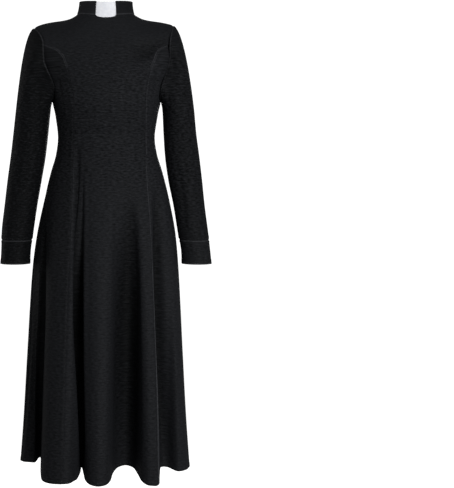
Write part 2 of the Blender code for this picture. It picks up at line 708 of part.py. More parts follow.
def shell_mesh(name, grid, facing, wall, seams, tube, turned):
    """A closed wall round a surface of rings or sections, whose two skins are a wall apart."""
    normal, depth = facing
    outer = grid + seam_shift(grid, normal, seams, tube)
    inner = outer - normal * (wall * depth)[..., None]
    rows, cols = grid.shape[:2]
    number = np.arange(rows * cols).reshape(rows, cols)
    a, b, c, d = (part.reshape(-1) for part in corners_of(number, tube))
    flat = outer.reshape(-1, 3)
    short = np.linalg.norm(flat[a] - flat[c], axis=1) <= np.linalg.norm(flat[b] - flat[d], axis=1)
    first = np.where(short[:, None], np.stack([a, b, c], 1), np.stack([a, b, d], 1))
    second = np.where(short[:, None], np.stack([a, c, d], 1), np.stack([b, c, d], 1))
    skin = np.concatenate([first, second])
    skin = skin[:, ::-1] if turned else skin
    under = skin[:, ::-1] + rows * cols
    uses = {}
    for i, j in np.concatenate([skin[:, [0, 1]], skin[:, [1, 2]], skin[:, [2, 0]]]).tolist():
        uses[(i, j)] = True
    rim = [(j, i) for i, j in uses if (j, i) not in uses]
    more = rows * cols
    top = grid.reshape(-1, 3)
    deep = top - (normal * (wall * depth)[..., None]).reshape(-1, 3)
    sides = []
    for i, j in rim:
        if np.linalg.norm(top[i] - deep[j]) <= np.linalg.norm(top[j] - deep[i]):
            sides += [(i, j, j + more), (i, j + more, i + more)]
        else:
            sides += [(i, j, i + more), (j, j + more, i + more)]
    faces = skin.tolist() + under.tolist() + sides
    mesh = bpy.data.meshes.new(name)
    mesh.from_pydata((np.concatenate([flat, inner.reshape(-1, 3)]) * MM).tolist(), [], faces)
    mesh.shade_smooth()
    mesh.set_sharp_from_angle(angle=math.radians(SHARP_EDGE))
    return mesh


def principled(name, colour, roughness, metallic=0.0):
    """A plain material from a linear colour."""
    material = bpy.data.materials.new(name)
    material.use_nodes = True
    shader = material.node_tree.nodes["Principled BSDF"]
    shader.inputs["Base Color"].default_value = (*colour, 1.0)
    shader.inputs["Roughness"].default_value = roughness
    shader.inputs["Metallic"].default_value = metallic
    material.diffuse_color = (*colour, 1.0)
    return material


def add_object(name, mesh, material, collection, parent):
    """Puts a mesh or curve in the scene as a named object with its own material."""
    obj = bpy.data.objects.new(name, mesh)
    mesh.materials.append(material)
    collection.objects.link(obj)
    obj.parent = parent
    return obj


def helper_box(name, size, place, collection):
    """A hidden box of this size, for a Boolean."""
    bpy.ops.mesh.primitive_cube_add(size=1, location=place)
    box = bpy.context.object
    box.name = name
    box.data.transform(((size[0], 0, 0, 0), (0, size[1], 0, 0), (0, 0, size[2], 0), (0, 0, 0, 1)))
    for holder in list(box.users_collection):
        holder.objects.unlink(box)
    collection.objects.link(box)
    box.hide_render = True
    box.display_type = "WIRE"
    return box


def boolean(obj, other, operation):
    """A Boolean modifier."""
    modifier = obj.modifiers.new(operation.lower(), "BOOLEAN")
    modifier.operation = operation
    modifier.object = other
    return modifier


def body_grids():
    """The body panels as grids of points, by name."""
    front_columns = front_yoke_columns()
    back_r = yoke_columns(TIP_RIGHT, BACK_SEAM_R[0].x, NECK_BACK_ANGLES)
    back_l = yoke_columns(-TIP_LEFT, BACK_SEAM_L[0].x, [-a for a in NECK_BACK_ANGLES])[::-1]
    return {
        "side_front_l": SidePanel(SIDE_FRONT_L, 10, -90, FRONT_SEAM_L, False, FRONT_LEVELS,
                                  FRONT_ARMHOLE_L, True).grid(),
        "centre_front": CentrePanel(CENTRE_FRONT, FRONT_SEAM_L, FRONT_SEAM_R, False,
                                    FRONT_LEVELS, front_columns).grid(),
        "side_front_r": SidePanel(SIDE_FRONT_R, 8, 90, FRONT_SEAM_R, False, FRONT_LEVELS,
                                  FRONT_ARMHOLE_R, False).grid(),
        "side_back_r": SidePanel(SIDE_BACK_R, 7, 90, BACK_SEAM_R, True, BACK_LEVELS,
                                 BACK_ARMHOLE_R, True).grid(),
        "centre_back_r": CentrePanel(CENTRE_BACK_R, BACK_SEAM_R, None, True, BACK_LEVELS,
                                     back_r).grid(),
        "centre_back_l": CentrePanel(CENTRE_BACK_L, None, BACK_SEAM_L, True, BACK_LEVELS,
                                     back_l).grid(),
        "side_back_l": SidePanel(SIDE_BACK_L, 7, 270, BACK_SEAM_L, True, BACK_LEVELS,
                                 BACK_ARMHOLE_L, False).grid(),
    }


def arm_grids(body):
    """Both sleeves and cuffs as grids of points, by name."""
    found = {}
    for label, side in (("l", -1.0), ("r", 1.0)):
        flip = slice(None, None, -1) if side < 0 else slice(None)
        front_col, back_col = (0, -1) if side < 0 else (-1, 0)
        ring, under = armhole_ring(
            body["centre_front"][:-YOKE_ROWS - 2:-1, front_col],
            body["side_front_" + label][-1, flip],
            body["side_back_" + label][-1, flip],
            body["centre_back_" + label][-YOKE_ROWS - 1:, back_col],
        )
        sleeve, angle = sleeve_grid(side, ring, under)
        found["sleeve_" + label] = sleeve
        found["cuff_" + label] = np.array([arm_ring(side, z, angle) for z in CUFF_LEVELS])
    return found


def make_cloth(collection, parent):
    """Every sewn piece, each with its own wall and its own material."""
    body = body_grids()
    grids = {**body, **arm_grids(body)}
    from_front = [a for a in NECK_FRONT_ANGLES if a >= TAB_HALF_ANGLE]
    round_neck = from_front + [90] + list(NECK_BACK_ANGLES)
    grids["collar_r"] = collar_grid(round_neck)
    grids["collar_l"] = collar_grid([-a for a in round_neck[::-1]])
    tubes = {"sleeve_l", "sleeve_r", "cuff_l", "cuff_r"}
    turned = {"sleeve_l", "cuff_l"}
    seams = {name: ("top", "first", "last") for name in body}
    seams.update(sleeve_l=("bottom", "top"), sleeve_r=("bottom", "top"), cuff_l=("bottom",),
                 cuff_r=("bottom",), collar_l=("bottom", "first"), collar_r=("bottom", "last"))
    facing = shared_normals(grids, tubes, turned)
    for name, grid in grids.items():
        mesh = shell_mesh(name, grid, facing[name], WALL, seams[name], name in tubes,
                          name in turned)
        cloth = principled(name + " black knit", KNIT_COLOUR, KNIT_ROUGHNESS)
        add_object(name, mesh, cloth, collection, parent)
    tab = tab_grid()
    tab_facing = shared_normals({"collar_tab": tab}, set(), set())["collar_tab"]
    mesh = shell_mesh("collar_tab", tab, tab_facing, TAB_THICK, (), False, False)
    add_object("collar_tab", mesh, principled("white tab", TAB_COLOUR, TAB_ROUGHNESS),
               collection, parent)


def slider_face():
    """The slider's outer face as a distance behind the middle, and the pull's axis there."""
    low_end = SLIDER_Z - SLIDER_TALL / 2
    up = (low_end - NECK_Z_BACK) / (COLLAR_Z_BACK - NECK_Z_BACK)
    face = collar_point(180, up)[1] + SEAM_GAP + SLIDER_THICK
    return face, face + TUNNEL_HALF_DEEP


def make_slider(collection, cutters, parent):
    """The zip's slider: a plate with rounded edges, and a bridge that holds the pull."""
    face, axis = slider_face()
    bpy.ops.mesh.primitive_cube_add(size=1, location=(0, (face - SLIDER_THICK / 2) * MM,
                                                      SLIDER_Z * MM))
    slider = bpy.context.object
    slider.name = "zip_slider"
    slider.data.name = "zip_slider"
    slider.data.transform(((SLIDER_WIDE * MM, 0, 0, 0), (0, SLIDER_THICK * MM, 0, 0),
                           (0, 0, SLIDER_TALL * MM, 0), (0, 0, 0, 1)))
    for holder in list(slider.users_collection):
        holder.objects.unlink(slider)
    collection.objects.link(slider)
    slider.parent = parent
    slider.data.materials.append(principled("zip metal", SLIDER_COLOUR, SLIDER_ROUGHNESS, 1.0))
    bevel = slider.modifiers.new("rounded edges", "BEVEL")
    bevel.width = SLIDER_ROUND * MM
    bevel.segments = 2
    low = face - SLIDER_THICK / 4
    top = axis + TUNNEL_HALF_DEEP + BRIDGE_WALL
    tall = 2 * (TUNNEL_HALF_TALL + BRIDGE_WALL)
    bridge = helper_box("bridge", (BRIDGE_WIDE * MM, (top - low) * MM, tall * MM),
                        (0, (top + low) / 2 * MM, SLIDER_Z * MM), cutters)
    inner_top = axis + TUNNEL_HALF_DEEP
    inner_low = low - 1.0
    tunnel = helper_box("tunnel", (2 * BRIDGE_WIDE * MM, (inner_top - inner_low) * MM,
                                   2 * TUNNEL_HALF_TALL * MM),
                        (0, (inner_top + inner_low) / 2 * MM, SLIDER_Z * MM), cutters)
    boolean(bridge, tunnel, "DIFFERENCE")
    boolean(slider, bridge, "UNION")
    return slider


def arc_points(middle_x, middle_y, radius, start, end, steps):
    """Points on an arc, from one angle in degrees to another."""
    angles = np.radians(np.linspace(start, end, steps + 1))
    return [(middle_x + radius * math.cos(a), middle_y + radius * math.sin(a)) for a in angles]


def flat_spline(curve, points):
    """A closed flat outline in a curve."""
    spline = curve.splines.new("POLY")
    spline.points.add(len(points) - 1)
    for place, (x, y) in zip(spline.points, points):
        place.co = (x * MM, y * MM, 0, 1)
    spline.use_cyclic_u = True


def make_pull(collection, parent):
    """The pull tab: a flat drop with an eye, hanging from its own axis in the slider's bridge."""
    _, axis = slider_face()
    pivot = bpy.data.objects.new("pull_pivot", None)
    pivot.location = (0, axis * MM, SLIDER_Z * MM)
    pivot.empty_display_size = PIVOT_SIZE * MM
    pivot.parent = parent
    collection.objects.link(pivot)
    curve = bpy.data.curves.new("zip_pull", "CURVE")
    curve.dimensions = "2D"
    curve.fill_mode = "BOTH"
    curve.extrude = PULL_THICK / 2 * MM
    end_y = -PULL_LONG + PULL_END_HALF
    side_x = PULL_TOP_HALF - PULL_CORNER
    outline = arc_points(side_x, PULL_BAR - PULL_CORNER, PULL_CORNER, 0, 90, 3)
    outline += arc_points(-side_x, PULL_BAR - PULL_CORNER, PULL_CORNER, 90, 180, 3)
    outline += arc_points(0, end_y, PULL_END_HALF, 180, 360, 12)
    flat_spline(curve, outline)
    eye_low = -PULL_BAR - PULL_EYE_LONG
    eye = [(-PULL_EYE_HALF, -PULL_BAR), (-PULL_EYE_HALF, eye_low + PULL_EYE_HALF)]
    eye += arc_points(0, eye_low + PULL_EYE_HALF, PULL_EYE_HALF, 180, 360, 6)[1:]
    eye += [(PULL_EYE_HALF, -PULL_BAR)]
    flat_spline(curve, eye)
    metal = principled("pull metal", PULL_COLOUR, PULL_ROUGHNESS, 1.0)
    pull = add_object("zip_pull", curve, metal, collection, pivot)
    pull.rotation_euler = (math.radians(90), 0, 0)
    return pull


def main():
    """Clears the scene and makes the dress."""
    for obj in list(bpy.data.objects):
        bpy.data.objects.remove(obj, do_unlink=True)
    dress = bpy.data.collections.new("clergy_dress")
    cutters = bpy.data.collections.new("cutters")
    bpy.context.scene.collection.children.link(dress)
    bpy.context.scene.collection.children.link(cutters)
    root = bpy.data.objects.new("dress_root", None)
    dress.objects.link(root)
    make_cloth(dress, root)
    make_slider(dress, cutters, root)
    make_pull(dress, root)


main()
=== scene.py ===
"""Clergy dress: black knit filled out with no wearer, framed as the photograph's front view.

Every sewn piece is a thin shell of cloth worked out from the same named sections, seams and folds
as its solid, on a finer grid, with its creases, pressed seams, stitching and turned hems added,
and painted light, shade and highlights in its colour.
The back follows the photograph's second view. Tables and sizes are in millimetres. The front faces
-Y, and the photograph's left is -X.
"""

import logging
import math
from dataclasses import dataclass
from enum import Enum
from typing import Dict, List, NamedTuple, Optional, Sequence, Tuple

import bpy
import numpy as np
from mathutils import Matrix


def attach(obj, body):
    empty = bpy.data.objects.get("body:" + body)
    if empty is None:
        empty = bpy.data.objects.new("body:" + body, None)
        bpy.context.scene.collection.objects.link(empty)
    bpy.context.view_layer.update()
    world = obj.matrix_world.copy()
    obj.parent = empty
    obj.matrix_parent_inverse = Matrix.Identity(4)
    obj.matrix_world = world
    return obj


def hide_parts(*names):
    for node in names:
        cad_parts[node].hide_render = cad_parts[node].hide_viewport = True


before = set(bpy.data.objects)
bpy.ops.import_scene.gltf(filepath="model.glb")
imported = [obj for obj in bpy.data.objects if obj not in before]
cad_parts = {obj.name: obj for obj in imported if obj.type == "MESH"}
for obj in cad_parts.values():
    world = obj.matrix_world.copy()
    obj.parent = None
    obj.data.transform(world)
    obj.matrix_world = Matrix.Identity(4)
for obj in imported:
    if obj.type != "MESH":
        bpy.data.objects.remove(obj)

log = logging.getLogger("clergy_dress")

MM = 0.001
Array = np.ndarray
Colour = Tuple[float, float, float, float]
Grids = Dict[str, Array]
Material = bpy.types.Material
Mesh = bpy.types.Mesh
Pair = Tuple[Array, Array]
Socket = bpy.types.NodeSocket
Tree = bpy.types.NodeTree


class Side(Enum):
    """The two sides of the dress, by the sign of X."""

    LEFT = -1
    RIGHT = 1

    @property
    def letter(self) -> str:
        """The last letter of this side's pieces."""
        return "l" if self is Side.LEFT else "r"


class Facing(Enum):
    """The side of the dress that a crease lies on."""

    FRONT = -1
    BACK = 1


class Section(NamedTuple):
    """A level of the body: half widths, depths before and behind the middle, and squareness."""

    name: str
    z: float
    left: float
    right: float
    front: float
    back: float
    square: float


class Seam(NamedTuple):
    """A place on a seam: height and distance from the middle."""

    z: float
    x: float


def seam_line(*places: Tuple[float, float]) -> Tuple[Seam, ...]:
    """A seam, from pairs of height and distance from the middle."""
    return tuple(Seam(*place) for place in places)


class Ridge(NamedTuple):
    """A place on the shoulder seam."""

    x: float
    z: float


class Fold(NamedTuple):
    """A fold line of the skirt: its share of the way between two seams at the waist, its place at
    the hem, the height where it begins and how far the hem rises there."""

    name: str
    share: float
    hem_x: float
    hem_y: float
    start: float
    lift: float


class Arm(NamedTuple):
    """A level of the sleeves: outer and inner edge of each, the middle's Y and half the depth."""

    name: str
    z: float
    left_out: float
    left_in: float
    right_out: float
    right_in: float
    middle_y: float
    half_deep: float


class Crease(NamedTuple):
    """A soft trough, or a ridge where depth is below 0, along a bent line seen from the front. It
    lies on the body or on the sleeves, whose pieces' names start with its place."""

    name: str
    place: Tuple[str, ...]
    facing: Facing
    x0: float
    z0: float
    x1: float
    z1: float
    bow: float
    width: float
    depth: float


def creases(place: Tuple[str, ...], facing: Facing, *rows: tuple) -> Tuple[Crease, ...]:
    """Creases of one place and facing, from rows of name, x0, z0, x1, z1, bow, width and depth."""
    return tuple(Crease(row[0], place, facing, *row[1:]) for row in rows)


class PaintedHighlight(NamedTuple):
    """A painted highlight along an edge of a piece, where the cloth turns at a seam or fold: the
    heights that it lies between, its strength, and how many times the usual width it has."""

    edge: str
    low: float
    high: float
    strength: float
    wide: float = 1.0


class Cut(NamedTuple):
    """A piece as it was cut: width and length of the cloth that it takes, and its own area."""

    width: float
    length: float
    area: float


class Lamp(NamedTuple):
    """A soft square light: its place and target height in metres, its size and its power."""

    name: str
    x: float
    y: float
    z: float
    target_z: float
    size: float
    watts: float


# The body at its levels, from the yoke line down to the hem.
BODY = (
    Section("yoke", -76, 186, 184, 90, 90, 2.6),
    Section("chest", -120, 172, 172, 107, 99, 2.4),
    Section("upper bust", -160, 157, 159, 120, 101, 2.3),
    Section("bust", -190, 149, 151, 125, 100, 2.2),
    Section("underarm", -220, 141, 144, 125, 97, 2.15),
    Section("ribs", -265, 131, 134, 112, 89, 2.1),
    Section("waist", -313, 126, 128, 96, 84, 2.0),
    Section("below waist", -355, 131, 134, 98, 90, 2.0),
    Section("high hip", -400, 144, 148, 104, 102, 2.0),
    Section("hip", -480, 164, 168, 112, 117, 2.0),
    Section("seat", -570, 183, 184, 118, 122, 2.0),
    Section("thigh", -650, 194, 191, 122, 124, 2.0),
    Section("knee", -870, 209, 203, 130, 130, 2.0),
    Section("calf", -1060, 221, 214, 135, 135, 2.0),
    Section("hem", -1180, 230, 223, 138, 138, 2.0),
)

# The princess seams before and behind, from the yoke line down.
FRONT_SEAM_L = seam_line(
    (-76, -159), (-83, -143), (-90, -127), (-100, -116.5), (-110, -108.5), (-122, -104),
    (-148, -95.5), (-178, -87.5), (-206, -83), (-260, -82.5), (-313, -84), (-474, -87),
    (-760, -98), (-1180, -109),
)
FRONT_SEAM_R = seam_line(
    (-76, 163), (-87, 143), (-97, 134.5), (-111, 127.5), (-132, 117.5), (-160, 110),
    (-219, 101.5), (-313, 102), (-416, 106.5), (-548, 115.5), (-749, 124.5), (-980, 132),
    (-1180, 134),
)
BACK_SEAM_L = seam_line(
    (-91, -176), (-108, -166), (-128, -157), (-167, -141), (-203, -124.5), (-247, -110),
    (-306, -101), (-372, -94), (-566, -109), (-876, -124), (-1180, -127),
)
BACK_SEAM_R = seam_line(
    (-91, 176), (-108, 166), (-128, 157), (-169, 139.5), (-203, 127), (-254, 113), (-311, 105),
    (-435, 101), (-635, 110), (-876, 121), (-1180, 132),
)

# The armholes, from the underarm up to the yoke line.
FRONT_ARMHOLE_L = seam_line(
    (-220, -141), (-206, -134), (-187, -131), (-166, -137), (-140, -149), (-113, -158),
    (-76, -159),
)
FRONT_ARMHOLE_R = seam_line(
    (-220, 144), (-206, 142), (-188, 142.5), (-166, 148.5), (-135, 158), (-103, 164),
    (-76, 163),
)
BACK_ARMHOLE_L = seam_line(
    (-220, -141), (-208, -140.5), (-190, -143.5), (-160, -153), (-125, -166), (-91, -176),
)
BACK_ARMHOLE_R = seam_line(
    (-220, 144), (-207, 143), (-188, 146), (-160, 154.5), (-125, 166.5), (-91, 176),
)

# The shoulder seam from the neck out to its tip, the same on both sides.
SHOULDER = (Ridge(76, 8), Ridge(84, 3), Ridge(95, -2), Ridge(112, -6), Ridge(143, -10.5),
            Ridge(168, -16), Ridge(181, -21), Ridge(192, -28))

# The skirt's fold lines, from the left side seam round the front and on round the back.
SIDE_FRONT_L = (
    Fold("side seam", 0.00, -230, 4, -420, 13),
    Fold("side face", 0.14, -214, -22, -420, 16),
    Fold("side face inner", 0.30, -188, -24, -430, 15),
    Fold("left flute recess", 0.44, -175, -6, -430, 24),
    Fold("left flute wall", 0.54, -170, -58, -430, 2),
    Fold("left flute edge", 0.64, -163, -116, -430, 0),
    Fold("left flute front", 0.76, -147, -142, -420, 0),
    Fold("left flute crest", 0.90, -124, -151, -400, 0),
    Fold("princess seam", 1.00, -109, -152, -400, 0),
)
CENTRE_FRONT = (
    Fold("princess seam", 0.00, -109, -152, -400, 0),
    Fold("left flute right face", 0.05, -92, -146, -395, 0),
    Fold("pinch left edge", 0.09, -78, -120, -385, 2),
    Fold("pinch left wall", 0.115, -71, -80, -375, 8),
    Fold("pinch floor", 0.14, -65, -48, -370, 13),
    Fold("pinch right wall", 0.165, -59, -80, -375, 8),
    Fold("pinch right edge", 0.20, -53, -124, -385, 2),
    Fold("centre flute left face", 0.26, -39, -156, -395, 0),
    Fold("centre flute crest", 0.34, -20, -166, -400, -1),
    Fold("centre flute right face", 0.43, -2, -160, -400, 0),
    Fold("arch left edge", 0.51, 11, -132, -400, 2),
    Fold("arch left wall", 0.57, 18, -90, -400, 8),
    Fold("arch floor left", 0.63, 31, -60, -400, 13),
    Fold("arch floor", 0.70, 50, -48, -400, 15),
    Fold("arch floor right", 0.76, 69, -60, -410, 13),
    Fold("arch right wall", 0.81, 81, -96, -430, 7),
    Fold("right flute left edge", 0.86, 90, -132, -450, 1),
    Fold("right flute crest", 0.92, 107, -149, -460, -4),
    Fold("right flute right face", 0.97, 124, -150, -460, -5),
    Fold("princess seam", 1.00, 134, -139, -460, -4),
)
SIDE_FRONT_R = (
    Fold("princess seam", 0.00, 134, -139, -460, -4),
    Fold("right flute wall", 0.08, 138, -88, -460, 4),
    Fold("right recess", 0.20, 144, -34, -460, 6),
    Fold("right recess edge", 0.36, 160, -26, -460, 4),
    Fold("right side crest", 0.58, 188, -50, -450, 0),
    Fold("right side face", 0.80, 210, -36, -440, 0),
    Fold("side seam", 1.00, 223, -4, -420, 0),
)
SIDE_BACK_R = (
    Fold("side seam", 0.00, 223, -4, -420, 0),
    Fold("side face", 0.18, 215, 38, -420, 0),
    Fold("back side face", 0.42, 191, 88, -420, 0),
    Fold("back side crest", 0.68, 162, 120, -430, 0),
    Fold("back side edge", 0.88, 143, 110, -440, 0),
    Fold("princess seam", 1.00, 132, 86, -440, 2),
)
CENTRE_BACK_R = (
    Fold("princess seam", 0.00, 132, 86, -440, 2),
    Fold("back arch face", 0.12, 118, 62, -440, 6),
    Fold("back arch floor", 0.26, 101, 55, -440, 8),
    Fold("back arch wall", 0.40, 85, 76, -440, 5),
    Fold("back flute edge", 0.52, 71, 116, -440, 1),
    Fold("back flute face", 0.64, 55, 146, -450, 0),
    Fold("back flute crest", 0.76, 36, 157, -460, 0),
    Fold("back flute inner face", 0.90, 14, 142, -520, 0),
    Fold("slit edge", 1.00, -3, 114, -670, 0),
)
CENTRE_BACK_L = (
    Fold("slit edge", 0.00, -15, 134, -670, 0),
    Fold("flat panel near the slit", 0.20, -42, 149, -520, 0),
    Fold("flat panel", 0.50, -76, 155, -450, 0),
    Fold("flat panel far side", 0.82, -108, 154, -440, 0),
    Fold("princess seam", 1.00, -127, 144, -440, 0),
)
SIDE_BACK_L = (
    Fold("princess seam", 0.00, -127, 144, -440, 0),
    Fold("back recess wall", 0.14, -134, 104, -440, 2),
    Fold("back recess", 0.28, -143, 70, -440, 4),
    Fold("back recess face", 0.46, -160, 66, -440, 3),
    Fold("back side crest", 0.68, -186, 66, -430, 4),
    Fold("side face", 0.86, -212, 42, -420, 8),
    Fold("side seam", 1.00, -230, 4, -420, 13),
)

# Both sleeves at their levels, down to the cuffs' hems.
SLEEVE = (
    Arm("upper arm", -246, 237, 145.5, 232, 148.5, 0, 54),
    Arm("above elbow", -300, 243, 151, 237, 151, 0, 52),
    Arm("elbow", -360, 250, 158, 245, 155, -1, 49),
    Arm("below elbow", -420, 258, 168, 252, 163, -4, 47),
    Arm("forearm", -490, 266, 180, 259, 177, -8, 44),
    Arm("wrist", -560, 273.5, 190, 268, 188, -12, 41),
    Arm("cuff", -610, 275, 196.5, 274, 196.5, -14, 40),
    Arm("cuff hem", -641, 277, 198, 277, 198, -15, 40),
)


PANELS = ("side_front_l", "centre_front", "side_front_r", "side_back_r", "centre_back_r",
          "centre_back_l", "side_back_l")

# The edges of each piece that are sewn to another piece, and the edge that is turned up as a hem.
SEWN: Dict[str, Tuple[str, ...]] = {
    **dict.fromkeys(PANELS, ("first", "last", "top")),
    **dict.fromkeys(("sleeve_l", "sleeve_r"), ("bottom", "top")),
    **dict.fromkeys(("cuff_l", "cuff_r", "collar_l", "collar_r"), ("bottom",)),
}
HEMS: Dict[str, str] = {
    **dict.fromkeys(PANELS, "bottom"),
    **dict.fromkeys(("cuff_l", "cuff_r"), "top"),
}

# The starts of the names of the pieces that a crease lies on.
TRUNK = ("centre", "side")
ARM = ("sleeve", "cuff")

# The creases of the photograph's two views.
# Each crease's depth also paints its trough darker as painted shade, and a ridge paler as a painted
# highlight.
CREASES = (
    *creases(
        TRUNK, Facing.FRONT,
        ("under bust, long", -82, -170, 78, -178, 5, 5.5, 2),
        ("under bust, left", -95, -186, 8, -194, 4, 5, 1.8),
        ("under bust, right", 4, -188, 104, -180, -5, 5, 1.8),
        ("above waist, left", -92, -262, 4, -270, 4, 5, 1.6),
        ("above waist, right", -6, -276, 96, -262, -4, 5, 1.6),
        ("waist, long", -98, -302, 92, -308, 3, 5.5, 2),
        ("below waist, left", -90, -332, 0, -338, 3, 5, 1.5),
        ("below waist, right", 6, -344, 100, -336, -4, 5, 1.5),
        ("bust, outer", 128, -140, 120, -216, 3, 5, 3.6),
        ("bust, inner", 114, -150, 110, -206, 2, 4.5, 2.6),
        ("bust, left", -120, -150, -112, -214, -3, 5, 2.6),
        ("yoke, right", 50, -116, 130, -94, -4, 11, 4),
        ("yoke, right hollow", 60, -92, 178, -62, -8, 23, 10),
        ("left armpit", -152, -150, -138, -250, 3, 8, 6),
        ("right armpit", 158, -150, 142, -250, -3, 8, 6),
        ("deep valley, top", -75, -325, -65, -860, 0, 9, 14),
        ("deep valley", -72, -520, -62, -1172, 0, 8, 24),
        ("deep valley's left wall", -73, -780, -71, -1560, 0, 6.5, -11),
        ("deep valley's right wall", -52, -400, -50, -1172, 0, 5, -7),
        ("arch valley", 61, -470, 58, -1176, 0, 18, 20),
        ("left panel's edge", -163, -430, -171, -1176, 0, 7, 9),
        ("left panel's hollow", -192, -430, -204, -1176, 0, 30, 11),
        ("right panel's edge", 131, -440, 153, -1176, 0, 10, 27),
        ("arch's left side", 40, -540, 31, -1176, 0, 15, 9),
    ),
    *creases(
        ARM, Facing.FRONT,
        ("left elbow, upper", -240, -330, -166, -338, 2, 5, 2.4),
        ("left elbow, lower", -232, -354, -170, -346, -2, 4.5, 2),
        ("left forearm", -250, -440, -176, -398, 2, 5, 2.4),
        ("right forearm", 186, -385, 206, -560, 3, 6, 2.6),
        ("right elbow", 160, -340, 236, -352, 2, 5, 1.8),
    ),
    *creases(
        TRUNK, Facing.BACK,
        ("back waist, upper", -92, -290, 88, -284, 4, 5.5, 2),
        ("back waist, lower", -88, -322, 92, -330, -3, 5.5, 2),
        ("back, below waist", -70, -356, 60, -350, 3, 5, 1.6),
    ),
    *creases(
        ARM, Facing.BACK,
        ("left elbow, behind", -240, -344, -168, -336, 2, 5, 2.2),
        ("right elbow, behind", 164, -338, 238, -348, -2, 5, 2.2),
    ),
)

# The painted highlights along the edges of each piece, where seams and fold edges catch the light.
PAINTED_HIGHLIGHTS: Dict[str, Tuple[PaintedHighlight, ...]] = {
    "centre_front": (
        PaintedHighlight("first", -150, -60, 1.3),
        PaintedHighlight("first", -640, -150, 0.35),
        PaintedHighlight("last", -150, -60, 1.3),
        PaintedHighlight("last", -660, -360, 1.7),
        PaintedHighlight("last", -1250, -630, 2.9, 1.6),
        PaintedHighlight("top", -60, 60, 0.9),
    ),
    "side_front_l": (
        PaintedHighlight("last", -150, -60, 1.0),
        PaintedHighlight("top", -260, -60, 0.8),
    ),
    "side_front_r": (
        PaintedHighlight("first", -150, -60, 0.9),
        PaintedHighlight("first", -400, -130, 0.4),
        PaintedHighlight("first", -1250, -720, 1.8, 1.3),
        PaintedHighlight("top", -260, -60, 0.6),
    ),
    "sleeve_l": (PaintedHighlight("bottom", -170, 20, 0.9),),
    "sleeve_r": (PaintedHighlight("bottom", -260, 20, 0.7),),
    "cuff_l": (
        PaintedHighlight("bottom", -700, -520, 1.2),
        PaintedHighlight("top", -700, -520, 1.2),
    ),
    "cuff_r": (
        PaintedHighlight("bottom", -700, -520, 1.3),
        PaintedHighlight("top", -700, -520, 1.2),
    ),
    "collar_l": (PaintedHighlight("bottom", -60, 60, 1.2),),
    "collar_r": (PaintedHighlight("bottom", -60, 60, 1.2),),
    "centre_back_r": (
        PaintedHighlight("first", -1250, -300, 1.4),
        PaintedHighlight("first", -330, -60, 1.9),
    ),
    "centre_back_l": (
        PaintedHighlight("last", -1250, -300, 1.9),
        PaintedHighlight("last", -330, -60, 1.9),
    ),
    "side_back_r": (PaintedHighlight("top", -260, -60, 1.2),),
    "side_back_l": (PaintedHighlight("top", -260, -60, 1.2),),
}

# Painted light and shade: how much paler, or darker below 0, each piece's colour is painted from
# # the front and from behind, darker on the left side and on the sleeves in front. It is added to
# # the tone's 0 to 1.
SHADES: Dict[str, Tuple[float, float]] = {
    "side_front_l": (-0.07, -0.05),
    "side_front_r": (0.04, 0.0),
    "side_back_l": (0.0, -0.20),
    "side_back_r": (0.0, -0.06),
    "centre_back_r": (0.0, 0.03),
    "centre_back_l": (0.0, 0.03),
    "sleeve_l": (-0.20, 0.0),
    "sleeve_r": (-0.10, 0.0),
    "cuff_l": (-0.20, -0.08),
    "cuff_r": (-0.04, -0.08),
    "collar_r": (-0.06, 0.0),
}

# The lamps, in metres and watts: place, height of the target, size and power.
LAMPS = (
    Lamp("key, right of the camera", 1.0, -2.4, -0.3, -0.4, 0.9, 47.0),
    Lamp("side, right", 2.5, -0.9, -0.4, -0.5, 1.0, 7.0),
    Lamp("top, left", -1.9, -1.6, 1.1, -0.1, 0.8, 10.0),
    Lamp("side, left and behind", -2.5, 1.1, -0.2, -0.5, 1.2, 10.0),
    Lamp("back", 0.4, 2.9, 0.0, -0.55, 1.4, 34.0),
)

# X of the shoulder tips, and the rows and columns of the solids' own grids.
TIP_LEFT = 188.0
TIP_RIGHT = 176.0
SLEEVE_LEVELS = (-246, -285, -325, -360, -400, -450, -510, -578)
CUFF_LEVELS = (-578, -608, -641)
BUST_LEVELS = (-313, -290, -262, -236, -212, -188, -166)
FRONT_LEVELS = BUST_LEVELS + (-145, -126, -111, -100, -92, -84, -76)
BACK_LEVELS = BUST_LEVELS + (-148, -133, -121, -112, -104, -97, -91)
SKIRT_SHARES = (0.0, 0.13, 0.26, 0.38, 0.50, 0.61, 0.71, 0.80, 0.88, 0.945, 1.0)
SLEEVE_CAP_SHARES = (0.0, 0.1, 0.24, 0.42, 0.61, 0.8, 1.0)
NECK_FRONT_ANGLES = (-73, -55, -37.5, -20.5, -7, 7, 20.5, 37.5, 55, 73)
NECK_BACK_ANGLES = (108, 126, 144, 162, 180)


